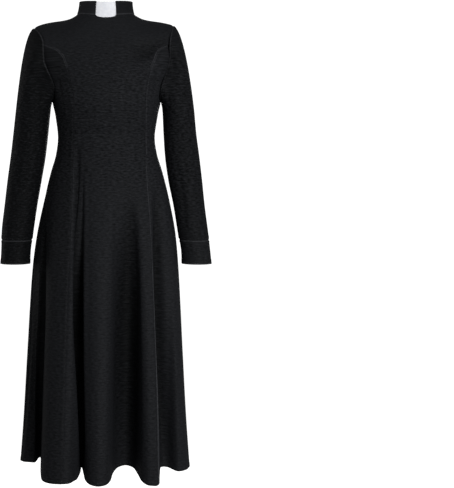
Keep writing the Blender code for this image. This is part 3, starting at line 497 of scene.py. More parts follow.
def smooth(at: Array, known: Sequence[float], values: Sequence[float]) -> Array:
    """A smooth curve through the known values that doesn't overshoot them.

    Between two known places it is the cubic that meets both values with the harmonic mean of the
    slopes beside each, or level where the values turn.

    Args:
        at: Places to read.
        known: Places whose values are known, rising or falling.
        values: Their values.

    Returns:
        The curve's value at each place.
    """
    known = np.asarray(known, float)
    values = np.asarray(values, float)
    if known[0] > known[-1]:
        known, values = known[::-1], values[::-1]
    step = np.diff(known)
    slope = np.diff(values) / step
    lean = np.zeros(len(known))
    lean[0], lean[-1] = slope[0], slope[-1]
    same = slope[:-1] * slope[1:] > 0
    w1 = 2 * step[1:] + step[:-1]
    w2 = step[1:] + 2 * step[:-1]
    safe_a = np.where(same, slope[:-1], 1.0)
    safe_b = np.where(same, slope[1:], 1.0)
    lean[1:-1] = np.where(same, (w1 + w2) / (w1 / safe_a + w2 / safe_b), 0.0)
    at = np.clip(np.asarray(at, float), known[0], known[-1])
    i = np.clip(np.searchsorted(known, at) - 1, 0, len(step) - 1)
    t = (at - known[i]) / step[i]
    rise = values[i + 1] - values[i]
    a, b = lean[i] * step[i], lean[i + 1] * step[i]
    return values[i] + t * a + t * t * (3 * rise - 2 * a - b) + t**3 * (a + b - 2 * rise)


def column(table: Sequence[NamedTuple], field: str) -> Array:
    """One named column of a table."""
    return np.array([getattr(row, field) for row in table], float)


def at_height(table: Sequence[NamedTuple], field: str, z: Array) -> Array:
    """One named column of a table, read smoothly at a height."""
    return smooth(z, column(table, "z"), column(table, field))


def eased(t: Array) -> Array:
    """A smooth step from 0 to 1: 3 t squared minus 2 t cubed."""
    t = np.clip(t, 0, 1)
    return t * t * (3 - 2 * t)


def unit(v: Array) -> Array:
    """Vectors brought to a length of 1."""
    return v / np.maximum(np.linalg.norm(v, axis=-1, keepdims=True), 1e-12)


def read_at(values: Sequence[float], at: Array) -> Array:
    """A list read in straight lines between its rows, at places counted in rows."""
    return np.interp(at, np.arange(len(values)), np.asarray(values, float))


def fine_steps(count: int, per: int, edges: Sequence[float] = (0.07, 0.16)) -> Array:
    """Places from 0 to count: even steps, with more close to both ends, where seams roll in.

    Args:
        count: Steps of the solid's grid.
        per: Fine steps for each of them.
        edges: Extra places next to each end, in the solid's steps.

    Returns:
        The places, rising.
    """
    even = np.linspace(0, count, count * per + 1)
    near = np.asarray(edges, float)
    return np.unique(np.round(np.concatenate([even, near, count - near]), 6))


def run_along(points: Array) -> Array:
    """Distances along a line of points from its start."""
    step = np.linalg.norm(np.diff(points, axis=0), axis=-1)
    return np.concatenate([[0.0], np.cumsum(step)])


def line_at(at: Array, run: Array, points: Array) -> Array:
    """Points or directions read along a line, at distances from its start."""
    return np.stack([np.interp(at, run, points[:, i]) for i in range(3)], -1)


@dataclass(frozen=True)
class Figure:
    """The plain body under the folds: a squared ellipse at each height."""

    hem_z: float = -1180.0
    waist_z: float = -313.0
    underarm_z: float = -236.0
    fold_power: float = 1.15

    def size(self, field: str, z: Array) -> Array:
        """One of the body's sizes at a height."""
        return at_height(BODY, field, z)

    def angle(self, x: Array, z: Array, behind: bool) -> Array:
        """The angle round the body of a place at x: 0 is the front's middle, pi the back's.

        Args:
            x: Distances from the middle.
            z: Heights.
            behind: Whether the places are on the back.

        Returns:
            The angles.
        """
        x = np.asarray(x, float)
        half = np.where(x < 0, self.size("left", z), self.size("right", z))
        sine = np.clip(np.abs(x) / half, 0, 1) ** (self.size("square", z) / 2)
        angle = np.arcsin(sine) * np.sign(x)
        return math.pi - angle if behind else angle

    def point(self, angle: Array, z: Array) -> Array:
        """Points of the body: half width times the sine and depth times the cosine, each to the
        power of 2 over the squareness, with its sign kept.

        Args:
            angle: Angles round the body.
            z: Heights.

        Returns:
            The points.
        """
        s, c = np.sin(angle), np.cos(angle)
        half = np.where(s < 0, self.size("left", z), self.size("right", z))
        deep = np.where(c > 0, self.size("front", z), self.size("back", z))
        power = 2 / self.size("square", z)
        x = half * np.sign(s) * np.abs(s) ** power
        y = -deep * np.sign(c) * np.abs(c) ** power
        return np.stack([x, y, z * np.ones_like(x)], -1)

    def hem_push(self, fold: Dict[str, Array], behind: bool) -> Array:
        """How far the folds move each column along Y at the hem."""
        z = self.hem_z * np.ones_like(fold["hem_x"])
        return fold["hem_y"] - self.point(self.angle(fold["hem_x"], z, behind), z)[:, 1]

    def skirt_height(self, fold: Dict[str, Array], part: float) -> Pair:
        """Height of a skirt row, and how far its folds have opened. part is 1 at the waist."""
        z = self.waist_z + (1 - part) * (self.hem_z + fold["lift"] - self.waist_z)
        return z, np.clip((fold["start"] - z) / (fold["start"] - self.hem_z), 0, 1)


FIGURE = Figure()


@dataclass(frozen=True)
class Neckline:
    """The neck seam, the stand collar above it and the shoulder seam beside it, and how the yoke
    below fans out and leans in towards them."""

    left: float = 76.0
    right: float = 75.0
    front: float = 66.0
    back: float = 60.0
    z_side: float = 8.0
    z_front: float = -3.0
    z_back: float = 4.0
    top_side: float = 70.0
    top_front: float = 62.0
    top_back: float = 57.0
    top_z_side: float = 41.0
    top_z_front: float = 34.0
    top_z_back: float = 44.0
    hollow: float = 1.0
    tab_half_angle: float = 20.5
    next_angle: float = 37.5
    tab_dip: float = 4.5
    yoke_fan: float = 103.0
    lean_across: float = 0.12
    lean_out: float = 8.0
    lean_out_side: float = 20.0
    lean_down: float = 18.0
    lean_up_side: float = 16.0

    def seam(self, degrees: Array) -> Array:
        """Points of the neck seam: an ellipse whose height follows the square of the cosine, with a
        dip under the tab. 0 degrees is the front's middle, 90 the photograph's right.

        Args:
            degrees: Angles round the neck.

        Returns:
            The points.
        """
        degrees = np.asarray(degrees, float)
        a = np.radians(degrees)
        s, c = np.sin(a), np.cos(a)
        half = np.where(s < 0, self.left, self.right)
        deep = np.where(c > 0, self.front, self.back)
        end = np.where(c > 0, self.z_front, self.z_back)
        dip = self.tab_dip * np.maximum(0.0, 1 - (degrees / self.tab_half_angle) ** 4)
        return np.stack([half * s, -deep * c, self.z_side + (end - self.z_side) * c * c - dip], -1)

    def collar(self, degrees: Array, up: float) -> Array:
        """Points of the collar, from the neck seam at up 0 to its top edge at up 1, a little hollow
        half-way.

        Args:
            degrees: Angles round the neck.
            up: Share of the way up.

        Returns:
            The points.
        """
        low = self.seam(degrees)
        a = np.radians(degrees)
        s, c = np.sin(a), np.cos(a)
        deep = np.where(c > 0, self.top_front, self.top_back)
        end = np.where(c > 0, self.top_z_front, self.top_z_back)
        height = self.top_z_side + (end - self.top_z_side) * c * c
        top = np.stack([self.top_side * s, -deep * c, height], -1)
        inward = np.stack([s, -c, np.zeros_like(s)], -1)
        return low + up * (top - low) - self.hollow * 4 * up * (1 - up) * inward

    def shoulder(self, x: Array) -> Array:
        """Points of the shoulder seam, in the plane between front and back."""
        z = smooth(np.abs(x), column(SHOULDER, "x"), column(SHOULDER, "z"))
        return np.stack([x, np.zeros_like(z), z], -1)


NECK = Neckline()


@dataclass
class YokeStops:
    """The columns of a yoke where they reach the shoulder or neck seam: place along the shoulder,
    angle round the neck, and place at the yoke line, in the solid's steps."""

    across: List[float]
    angle: List[float]
    level: List[float]

    @classmethod
    def of_side(cls, tip: float, edge_x: float, angles: Sequence[float],
                steps: int = 5) -> "YokeStops":
        """Stops from a shoulder tip to the neck's middle.

        Args:
            tip: X of the shoulder tip.
            edge_x: X of the outermost column at the yoke line.
            angles: Neck angles of the columns past the neck's side.
            steps: Steps along the shoulder seam.

        Returns:
            The stops.
        """
        side = math.copysign(1.0, tip)
        neck_x = float(NECK.seam(side * 90)[0])
        across = list(np.linspace(tip, neck_x, steps + 1)) + [neck_x] * len(angles)
        angle = [side * 90.0] * (steps + 1) + list(angles)
        level = list(np.linspace(edge_x, side * NECK.yoke_fan, steps + 1))
        level += [side * NECK.yoke_fan * min(abs(a), 180 - abs(a)) / 90 for a in angles]
        return cls(across, angle, level)

    def reverse(self) -> "YokeStops":
        """The same stops in the other order."""
        return YokeStops(self.across[::-1], self.angle[::-1], self.level[::-1])

    def join(self, other: "YokeStops") -> "YokeStops":
        """These stops and then the other ones."""
        return YokeStops(self.across + other.across, self.angle + other.angle,
                         self.level + other.level)

    def read(self, t: Array, behind: bool) -> Tuple[Array, Array, Array]:
        """Reads the columns between the stops.

        Args:
            t: Places counted in stops.
            behind: Whether they are on the back.

        Returns:
            Top points, inward leans and places at the yoke line.
        """
        across, angle = read_at(self.across, t), read_at(self.angle, t)
        level = read_at(self.level, t)
        from_front = np.abs(angle)
        on_neck = from_front > 90 if behind else from_front < 90
        top = np.where(on_neck[:, None], NECK.seam(angle), NECK.shoulder(across))
        side = np.sin(np.radians(angle)) ** 2
        toward = 1.0 if behind else -1.0
        lean = np.stack([NECK.lean_across * (level - top[:, 0]),
                         toward * (NECK.lean_out + NECK.lean_out_side * side),
                         NECK.lean_up_side * side - NECK.lean_down], -1)
        return top, lean, level


@dataclass
class Panel:
    """A panel of the body: its folds, the heights of its rows, and whether it is behind."""

    name: str
    folds: Tuple[Fold, ...]
    behind: bool
    levels: Tuple[float, ...]
    per_column: int = 4
    per_row: int = 3
    per_skirt_row: int = 4
    hem_shares: Tuple[float, ...] = (0.0018, 0.0045, 0.0075, 0.0102, 0.0125, 0.016, 0.021, 0.03)

    def spread(self, steps: int, t: Array) -> Dict[str, Array]:
        """The folds read smoothly at places counted in the solid's steps.

        Args:
            steps: The solid's steps across the panel.
            t: The places.

        Returns:
            The folds' columns.
        """
        places = t / steps * (len(self.folds) - 1)
        knots = np.arange(len(self.folds))
        return {f: smooth(places, knots, column(self.folds, f)) for f in Fold._fields[1:]}

    def skirt_parts(self) -> Array:
        """Rows of the skirt from hem to waist, with more close to the hem for its turned edge.

        Returns:
            Shares of the way up to the waist.
        """
        last = len(SKIRT_SHARES) - 1
        even = read_at(SKIRT_SHARES, np.linspace(0, last, last * self.per_skirt_row + 1))
        return np.unique(np.round(np.concatenate([even, self.hem_shares]), 6))

    def level_rows(self) -> Array:
        """Rows above the waist, counted in the solid's rows."""
        last = len(self.levels) - 1
        return np.linspace(0, last, last * self.per_row + 1)[1:]


@dataclass
class CentrePanel(Panel):
    """A panel that reaches the neck: skirt, bodice between its seams, and yoke up to the top."""

    first: Optional[Tuple[Seam, ...]] = None
    last: Optional[Tuple[Seam, ...]] = None
    stops: Optional[YokeStops] = None
    yoke_rows: int = 5
    yoke_edges: Tuple[float, ...] = (0.05,)
    yoke_pull: float = 0.33
    slope_reach: float = 4.0

    @property
    def yoke_count(self) -> int:
        """Fine rows of the yoke."""
        return self.yoke_rows * self.per_row + 2 * len(self.yoke_edges)

    def edges(self, z: Array) -> Pair:
        """Where the first and the last edge are at a height, as distances from the middle."""
        first, last = (at_height(seam, "x", z) if seam else 0.0 for seam in (self.first, self.last))
        return first, last

    def across(self, share: Array, z: Array) -> Array:
        """Places between the edges as distances from the middle."""
        first, last = self.edges(z)
        return first + share * (last - first)

    def on_body(self, x: Array, z: Array) -> Array:
        """Points of the plain body at these places."""
        z = z * np.ones_like(x)
        return FIGURE.point(FIGURE.angle(x, z, self.behind), z)

    def skirt_row(self, fold: Dict[str, Array], part: float) -> Array:
        """A row of the skirt: straight fold lines, moved out and in along Y by a power of the way
        that they have opened.

        Args:
            fold: The folds' columns.
            part: The row's share of the way up to the waist.

        Returns:
            The row's points.
        """
        z, reach = FIGURE.skirt_height(fold, part)
        stray = fold["hem_x"] - self.across(fold["share"], FIGURE.hem_z)
        point = self.on_body(self.across(fold["share"], z) + stray * reach, z)
        point[:, 1] += FIGURE.hem_push(fold, self.behind) * reach**FIGURE.fold_power
        return point

    def grid(self) -> Array:
        """All rows from hem to top: the skirt, the bodice, where the shares pass smoothly from the
        folds' to the yoke's, and the yoke, whose columns are cubic curves.

        Returns:
            The points, by row and column.
        """
        steps = len(self.stops.level) - 1
        t = fine_steps(steps, self.per_column)
        fold = self.spread(steps, t)
        top, lean, level_x = self.stops.read(t, self.behind)
        rows = [self.skirt_row(fold, part) for part in self.skirt_parts()]
        low, high = self.edges(self.levels[-1])
        top_share = (level_x - low) / (high - low)
        span = self.levels[-1] - FIGURE.waist_z
        for z in read_at(self.levels, self.level_rows()):
            share = fold["share"] + (top_share - fold["share"]) * eased((z - FIGURE.waist_z) / span)
            rows.append(self.on_body(self.across(share, z), z))
        p0 = rows[-1]
        rise = p0 - self.on_body(p0[:, 0], self.levels[-1] - self.slope_reach)
        gap = np.linalg.norm(top - p0, axis=1, keepdims=True)
        p1, p2 = p0 + unit(rise) * gap * self.yoke_pull, top + lean
        yoke = fine_steps(self.yoke_rows, self.per_row, self.yoke_edges)
        for u in yoke[1:] / self.yoke_rows:
            rows.append((1 - u) ** 3 * p0 + 3 * u * (1 - u) ** 2 * p1
                        + 3 * u * u * (1 - u) * p2 + u**3 * top)
        return np.array(rows)


@dataclass
class SidePanel(Panel):
    """A panel that ends at the armhole. Its columns are worked out from the side seam inwards."""

    steps: int = 8
    side: float = 90.0
    seam: Tuple[Seam, ...] = ()
    armhole: Tuple[Seam, ...] = ()
    side_first: bool = True
    armhole_spread: float = 0.53
    armhole_samples: int = 60

    def seam_angle(self, z: Array) -> Array:
        """The princess seam's angle round the body at a height."""
        return FIGURE.angle(at_height(self.seam, "x", z), z, self.behind)

    def between(self, share: Array, z: Array) -> Array:
        """The angle of places from the side seam to the princess seam."""
        side = math.radians(self.side)
        return side + share * (self.seam_angle(z) - side)

    def skirt_row(self, fold: Dict[str, Array], part: float) -> Array:
        """A row of the skirt, whose fold lines spread round the side.

        Args:
            fold: The folds' columns.
            part: The row's share of the way up to the waist.

        Returns:
            The row's points.
        """
        z, reach = FIGURE.skirt_height(fold, part)
        side = math.radians(self.side)
        hem_angle = FIGURE.angle(fold["hem_x"], FIGURE.hem_z * np.ones_like(z), self.behind)
        hem_share = (hem_angle - side) / (self.seam_angle(FIGURE.hem_z) - side)
        hem_share[0], hem_share[-1] = 0.0, 1.0
        share = fold["share"] + (hem_share - fold["share"]) * reach
        point = FIGURE.point(self.between(share, z), z)
        point[:, 1] += FIGURE.hem_push(fold, self.behind) * reach**FIGURE.fold_power
        return point

    def armhole_chart(self, share: Array) -> Pair:
        """Angle and height of places along the armhole, by their share of its length.

        Args:
            share: Shares of its length.

        Returns:
            Angles and heights.
        """
        x, z = column(self.armhole, "x"), column(self.armhole, "z")
        run = np.concatenate([[0.0], np.cumsum(np.hypot(np.diff(x), np.diff(z)))])
        at = np.linspace(0, run[-1], self.armhole_samples)
        place_z = smooth(at, run, z)
        angle = FIGURE.angle(smooth(at, run, x), place_z, self.behind)
        angle[0] = math.radians(self.side)
        length = run_along(FIGURE.point(angle, place_z))
        at = share * length[-1]
        return np.interp(at, length, angle), np.interp(at, length, place_z)

    def grid(self) -> Array:
        """All rows from hem to armhole: the skirt, level rows up to the underarm, and above it rows
        that pass in even steps from the level one there to the armhole's own line.

        Returns:
            The points, by row and column.
        """
        order = self.folds if self.side_first else self.folds[::-1]
        t = fine_steps(self.steps, self.per_column)
        fold = Panel(self.name, order, self.behind, self.levels).spread(self.steps, t)
        if not self.side_first:
            fold["share"] = 1 - fold["share"]
        rows = [self.skirt_row(fold, part) for part in self.skirt_parts()]
        even = t / self.steps
        low_share = even**self.armhole_spread
        places = self.level_rows()
        under = self.levels.index(FIGURE.underarm_z)
        for z in read_at(self.levels, places[places <= under]):
            mix = eased((z - FIGURE.waist_z) / (FIGURE.underarm_z - FIGURE.waist_z))
            share = fold["share"] + (low_share - fold["share"]) * mix
            rows.append(FIGURE.point(self.between(share, z * np.ones_like(share)), z))
        low_angle = self.between(low_share, FIGURE.underarm_z * np.ones_like(even))
        arm_angle, arm_z = self.armhole_chart(even)
        for place in places[places > under]:
            v = (place - under) / (len(self.levels) - 1 - under)
            z = read_at(self.levels, place)
            angle = low_angle + v * (arm_angle - low_angle)
            high = FIGURE.underarm_z + v * (arm_z - FIGURE.underarm_z)
            angle += even * (self.seam_angle(z) - angle[-1])
            high += even * (z - high[-1])
            rows.append(FIGURE.point(angle, high))
        points = np.array(rows)
        return points if self.side_first else points[:, ::-1]


@dataclass
class Sleeve:
    """A set-in sleeve with its cuff, from the armhole's ring down to the wrist. Its cap leaves the
    armhole outwards and a little down, with a pull for each end of its curves."""

    side: Side
    cap_fall: float = 0.35
    underarm_out: float = 0.8
    underarm_down: float = 0.6
    start_pull: float = 0.38
    end_pull: float = 0.95
    slant: float = 0.11
    tip_power: float = 0.7
    tangent_reach: float = 12.0
    per_row: int = 4
    cap_edges: Tuple[float, ...] = (0.15, 0.3)
    sleeve_edges: Tuple[float, ...] = (0.02, 0.05, 0.1)
    per_cuff_row: int = 7
    cuff_edges: Tuple[float, ...] = (0.03, 0.08, 0.17, 0.23)

    def ring_at(self, z: float, angle: Array) -> Array:
        """A ring below the underarm: an ellipse between its outer and inner edge. Angle 0 is the
        outer edge and a quarter turn the front.

        Args:
            z: The ring's height.
            angle: Angles round it.

        Returns:
            The points.
        """
        label = "left" if self.side is Side.LEFT else "right"
        fields = (label + "_out", label + "_in", "middle_y", "half_deep")
        outer, inner, middle, deep = (at_height(SLEEVE, field, z) for field in fields)
        x = self.side.value * ((outer + inner) / 2 + (outer - inner) / 2 * np.cos(angle))
        return np.stack([x, middle - deep * np.sin(angle), z * np.ones_like(x)], -1)

    def along_ring(self, ring: Array) -> Array:
        """The ring's direction at each of its points, taken over a reach to both sides of it.

        Args:
            ring: The ring's points.

        Returns:
            The directions.
        """
        closed = np.concatenate([ring, ring[:1]])
        run = run_along(closed)
        total = run[-1]
        ahead = (run[:-1] + self.tangent_reach) % total
        back = (run[:-1] - self.tangent_reach) % total
        return unit(line_at(ahead, run, closed) - line_at(back, run, closed))

    def grid(self, ring: Array, under: int) -> Pair:
        """Rings from the armhole to the cuff seam: cubic curves that leave the armhole square to it
        and run into the first level ring, and level rings below.

        Args:
            ring: The armhole's points from the shoulder tip down the front and up the back.
            under: Place of the underarm in the ring.

        Returns:
            The rings, and the angle of each column.
        """
        side = self.side.value
        run = run_along(np.concatenate([ring, ring[:1]]))
        front = math.pi * run[:-1] / run[under]
        back = math.pi + math.pi * (run[:-1] - run[under]) / (run[-1] - run[under])
        angle = np.where(np.arange(len(ring)) <= under, front, back)
        along = self.along_ring(ring)
        out = np.array([side, 0.0, -self.cap_fall]) * np.ones((len(ring), 1))
        out = unit(out - (out * along).sum(1, keepdims=True) * along)
        near_tip = ((1 + np.cos(angle)) / 2)[:, None] ** self.tip_power
        down = np.array([side * self.underarm_out, 0.0, -self.underarm_down])
        first = self.ring_at(SLEEVE_LEVELS[0], angle)
        reach = np.linalg.norm(first - ring, axis=1, keepdims=True)
        start = unit(near_tip * out + (1 - near_tip) * down) * reach * self.start_pull
        end = unit(np.array([side * self.slant, 0.0, -1.0])) * reach * self.end_pull
        rows = []
        cap = fine_steps(len(SLEEVE_CAP_SHARES) - 1, self.per_row, self.cap_edges)
        for t in read_at(SLEEVE_CAP_SHARES, cap):
            rows.append(ring * (2 * t**3 - 3 * t * t + 1) + start * (t**3 - 2 * t * t + t)
                        + first * (3 * t * t - 2 * t**3) + end * (t**3 - t * t))
        below = fine_steps(len(SLEEVE_LEVELS) - 1, self.per_row + 1, self.sleeve_edges)
        for z in read_at(SLEEVE_LEVELS, below)[1:]:
            rows.append(self.ring_at(z, angle))
        return np.array(rows), angle

    def cuff(self, angle: Array) -> Array:
        """Rings of the cuff, with more at its seam and at its turned edge."""
        at = fine_steps(len(CUFF_LEVELS) - 1, self.per_cuff_row, self.cuff_edges)
        return np.array([self.ring_at(z, angle) for z in read_at(CUFF_LEVELS, at)])


@dataclass(frozen=True)
class Weave:
    """How the cloth's surface is laid over a grid, for its pattern and its seams: how close two
    points are to count as one, the roll and the ridge of a seam, and the painted highlight line
    beside it."""

    match: float = 0.02
    match_offset: float = 0.137
    roll_depth: float = 1.1
    roll_width: float = 2.4
    ridge: float = 0.6
    ridge_at: float = 5.0
    ridge_width: float = 2.6
    highlight_at: float = 2.0
    highlight_width: float = 1.0
    highlight_fade: float = 25.0

    def corners(self, grid: Array, tube: bool) -> Tuple[Array, ...]:
        """The four corner arrays of every quad of a grid, in order round the quad.

        Args:
            grid: Points or their numbers.
            tube: Whether the last column joins the first.

        Returns:
            The corners.
        """
        right = np.roll(grid, -1, 1) if tube else grid[:, 1:]
        left = grid if tube else grid[:, :-1]
        return left[:-1], right[:-1], right[1:], left[1:]

    def facings(self, grids: Grids, tubes: set, turned: set) -> Grids:
        """The outward direction at every point, averaged over all the pieces that meet there.

        Args:
            grids: Points of the pieces, by name.
            tubes: Names of the pieces whose last column joins the first.
            turned: Names of the pieces whose grid faces inwards.

        Returns:
            Directions, by name.
        """
        flat = np.concatenate([g.reshape(-1, 3) for g in grids.values()])
        places = np.round(flat / self.match + self.match_offset).astype(np.int64)
        _, number = np.unique(places, axis=0, return_inverse=True)
        number = number.reshape(-1)
        ids, at = {}, 0
        for name, g in grids.items():
            count = g.shape[0] * g.shape[1]
            ids[name] = number[at:at + count].reshape(g.shape[:2])
            at += count
        sums = np.zeros((number.max() + 1, 3))
        for name, g in grids.items():
            a, b, c, d = self.corners(g, name in tubes)
            face = np.cross(c - a, d - b) * (-1.0 if name in turned else 1.0)
            for part in self.corners(ids[name], name in tubes):
                np.add.at(sums, part.reshape(-1), face.reshape(-1, 3))
        return {name: unit(sums)[i] for name, i in ids.items()}

    def distance(self, grid: Array, edge: str) -> Array:
        """Each point's distance over the cloth from the edge named bottom, top, first or last.

        Args:
            grid: The piece's points.
            edge: The edge's name.

        Returns:
            The distances.
        """
        axis = 0 if edge in ("bottom", "top") else 1
        step = np.linalg.norm(np.diff(grid, axis=axis), axis=2)
        if edge in ("top", "last"):
            step = np.flip(step, axis)
        start = np.zeros_like(step.take([0], axis))
        run = np.concatenate([start, np.cumsum(step, axis)], axis)
        return np.flip(run, axis) if edge in ("top", "last") else run

    def seam(self, grid: Array, edges: Sequence[str]) -> Array:
        """How far the cloth goes in at its seams: a roll, which is a depth times e to the minus
        square of the distance over the roll's width, and beside it a low ridge where the pressed
        seam allowance lies under the cloth.

        Args:
            grid: The piece's points.
            edges: Those of bottom, top, first and last that are seams.

        Returns:
            The depth at each point.
        """
        deepest = np.zeros(grid.shape[:2])
        ridge = np.zeros(grid.shape[:2])
        for edge in edges:
            far = self.distance(grid, edge)
            roll = np.exp(-((far / self.roll_width) ** 2))
            beside = np.exp(-(((far - self.ridge_at) / self.ridge_width) ** 2))
            deepest = np.maximum(deepest, self.roll_depth * roll)
            ridge = np.maximum(ridge, self.ridge * beside)
        return deepest - ridge * (1 - deepest / self.roll_depth)

    def flat_places(self, grid: Array, sleeve: bool) -> Array:
        """Each point's place on the flat cloth in metres: across from the middle column, and along
        that column at the point's own height, or on a sleeve along its own column from the cuff.

        Args:
            grid: The piece's points.
            sleeve: Whether it is a sleeve.

        Returns:
            The places.
        """
        across = self.distance(grid, "first")
        middle = grid.shape[1] // 2
        across = across - across[:, middle:middle + 1]
        along = self.distance(grid, "top")
        if not sleeve:
            z = grid[:, middle, 2]
            rising = np.maximum.accumulate(z)
            along = np.interp(grid[..., 2], rising, self.distance(grid, "bottom")[:, middle])
            along += np.maximum(grid[..., 2] - z[-1], 0.0)
        return np.stack([across, along, np.zeros_like(across)], -1) * MM

    def pressed(self, name: str, grid: Array) -> Array:
        """How strong a painted highlight each point gets beside a seam or an edge: a narrow line at
        a distance from the seam, between two heights that it fades at.

        Args:
            name: The piece.
            grid: Its points.

        Returns:
            The painted highlight's strength at each point.
        """
        painted_shine = np.zeros(grid.shape[:2])
        # Painted highlight lines, one for each row of the table.
        for line in PAINTED_HIGHLIGHTS.get(name, ()):
            far = self.distance(grid, line.edge)
            narrow = np.exp(-(((far - self.highlight_at) / (self.highlight_width * line.wide)) ** 2))
            above = (grid[..., 2] - line.low) / self.highlight_fade
            below = (line.high - grid[..., 2]) / self.highlight_fade
            height = eased(above) * eased(below)
            painted_shine = np.maximum(painted_shine, line.strength * narrow * height)
        return painted_shine


WEAVE = Weave()

# A crease fades to both ends as this power of a sine, and to the dress's sides by how steeply, and
# from where, the cloth's outward direction turns to the crease's own side.
CREASE_FADE = 0.7
CREASE_TURN = 2.0
CREASE_TURN_FROM = 0.2


def crease_depth(name: str, points: Array, facing: Array) -> Array:
    """How deep the creases press each point of a piece in.

    Each crease is a bent line seen from the front. Its depth falls off as e to the minus square of
    the distance over the width, and fades to nothing at both ends and towards the other side.

    Args:
        name: The piece.
        points: Its points.
        facing: Their outward directions.

    Returns:
        The depth at each point, below 0 on a ridge.
    """
    depth = np.zeros(points.shape[:2])
    for c in CREASES:
        if not name.startswith(c.place):
            continue
        start, end = np.array([c.x0, c.z0]), np.array([c.x1, c.z1])
        length = float(np.linalg.norm(end - start))
        way = (end - start) / length
        across = np.array([-way[1], way[0]])
        place = points[..., (0, 2)] - start
        along = place @ way / length
        off = place @ across - c.bow * np.sin(np.pi * np.clip(along, 0, 1))
        fade = np.sin(np.pi * np.clip(along, 0, 1)) ** CREASE_FADE
        side = eased(c.facing.value * facing[..., 1] * CREASE_TURN + CREASE_TURN_FROM)
        depth += c.depth * np.exp(-((off / c.width) ** 2)) * fade * side
    return depth


def shell(grid: Array, facing: Array, wall: float, tube: bool, turned: bool) -> Pair:
    """A closed wall of cloth: the outer skin, the same a wall further in, and quads between their
    free edges.

    Args:
        grid: The outer skin's points.
        facing: Outward directions.
        wall: Thickness.
        tube: Whether the last column joins the first.
        turned: Whether the grid's own order faces inwards.

    Returns:
        Points and quads.
    """
    rows, cols = grid.shape[:2]
    more = rows * cols
    number = np.arange(more).reshape(rows, cols)
    skin = np.stack([c.reshape(-1) for c in WEAVE.corners(number, tube)], 1)
    right = np.roll(number, -1, 1) if tube else number[:, 1:]
    left = number if tube else number[:, :-1]
    rims = [(right[0], left[0]), (left[-1], right[-1])]
    if not tube:
        rims += [(number[:-1, 0], number[1:, 0]), (number[1:, -1], number[:-1, -1])]
    rim = np.concatenate([np.stack([a, b, b + more, a + more], 1) for a, b in rims])
    quads = np.concatenate([skin, skin[:, ::-1] + more, rim])
    points = np.concatenate([grid.reshape(-1, 3), (grid - facing * wall).reshape(-1, 3)])
    return points, quads[:, ::-1] if turned else quads


def mesh_of(name: str, points: Array, quads: Array, sharp: float = 60.0) -> Mesh:
    """A mesh in metres from points in millimetres and quads, shaded smooth up to a sharp angle.

    Args:
        name: Its name.
        points: Its points.
        quads: Each quad's points.
        sharp: The angle in degrees.

    Returns:
        The mesh.
    """
    mesh = bpy.data.meshes.new(name)
    mesh.vertices.add(len(points))
    mesh.vertices.foreach_set("co", (points * MM).astype(np.float32).reshape(-1))
    mesh.loops.add(quads.size)
    mesh.loops.foreach_set("vertex_index", quads.astype(np.int32).reshape(-1))
    mesh.polygons.add(len(quads))
    starts = np.arange(0, quads.size, quads.shape[1], dtype=np.int32)
    mesh.polygons.foreach_set("loop_start", starts)
    mesh.update(calc_edges=True)
    mesh.validate()
    mesh.shade_smooth()
    mesh.set_sharp_from_angle(angle=math.radians(sharp))
    return mesh


def set_attribute(mesh: Mesh, name: str, outer: Array, inner: Optional[Array] = None) -> None:
    """Gives the points of a shell a value or a vector each, for a material to read.

    Args:
        mesh: The shell's mesh.
        name: The attribute's name.
        outer: Values of the outer skin.
        inner: Values of the inner skin, or None for the same ones.
    """
    values = np.concatenate([outer, outer if inner is None else inner]).astype(np.float32)
    vector = values.ndim == 2
    data = mesh.attributes.new(name, "FLOAT_VECTOR" if vector else "FLOAT", "POINT").data
    data.foreach_set("vector" if vector else "value", values.reshape(-1))


def place(name: str, mesh: Mesh, material: Material, body: str = "dress") -> bpy.types.Object:
    """Puts a mesh in the scene with its material, riding on a body.

    Args:
        name: The object's name.
        mesh: Its mesh.
        material: Its material.
        body: The body that it rides on.

    Returns:
        The object.
    """
    piece = bpy.data.objects.new(name, mesh)
    mesh.materials.append(material)
    bpy.context.scene.collection.objects.link(piece)
    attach(piece, body)
    return piece


def linear(hex_colour: str) -> Colour:
    """An sRGB hex colour as linear numbers, by that standard's own curve.

    Args:
        hex_colour: The colour, as #rrggbb.

    Returns:
        Red, green, blue and alpha.
    """
    parts = [int(hex_colour[i:i + 2], 16) / 255 for i in (1, 3, 5)]
    curved = [p / 12.92 if p <= 0.04045 else ((p + 0.055) / 1.055) ** 2.4 for p in parts]
    return (*curved, 1.0)


def set_inputs(tree: Tree, node: bpy.types.Node, inputs: dict) -> None:
    """Sets a node's inputs to numbers, or links them to the outputs given for them.

    Args:
        tree: The nodes.
        node: The node.
        inputs: Numbers and outputs, by input.
    """
    for key, value in inputs.items():
        if isinstance(value, Socket):
            tree.links.new(value, node.inputs[key])
        else:
            node.inputs[key].default_value = value


def add_node(tree: Tree, kind: str, settings: Optional[dict] = None,
             inputs: Optional[dict] = None) -> bpy.types.Node:
    """Adds a node.

    Args:
        tree: The material's or world's nodes.
        kind: The node's type name, without its ShaderNode.
        settings: The node's own settings.
        inputs: Numbers for its inputs, or the outputs that they are linked to.

    Returns:
        The node.
    """
    node = tree.nodes.new("ShaderNode" + kind)
    for key, value in (settings or {}).items():
        setattr(node, key, value)
    set_inputs(tree, node, inputs or {})
    return node


def attribute(tree: Tree, name: str, output: str = "Fac") -> Socket:
    """An attribute of the mesh's points."""
    return add_node(tree, "Attribute", {"attribute_name": name}).outputs[output]


def object_places(tree: Tree) -> Socket:
    """The object's own places, in metres."""
    return add_node(tree, "TexCoord").outputs["Object"]


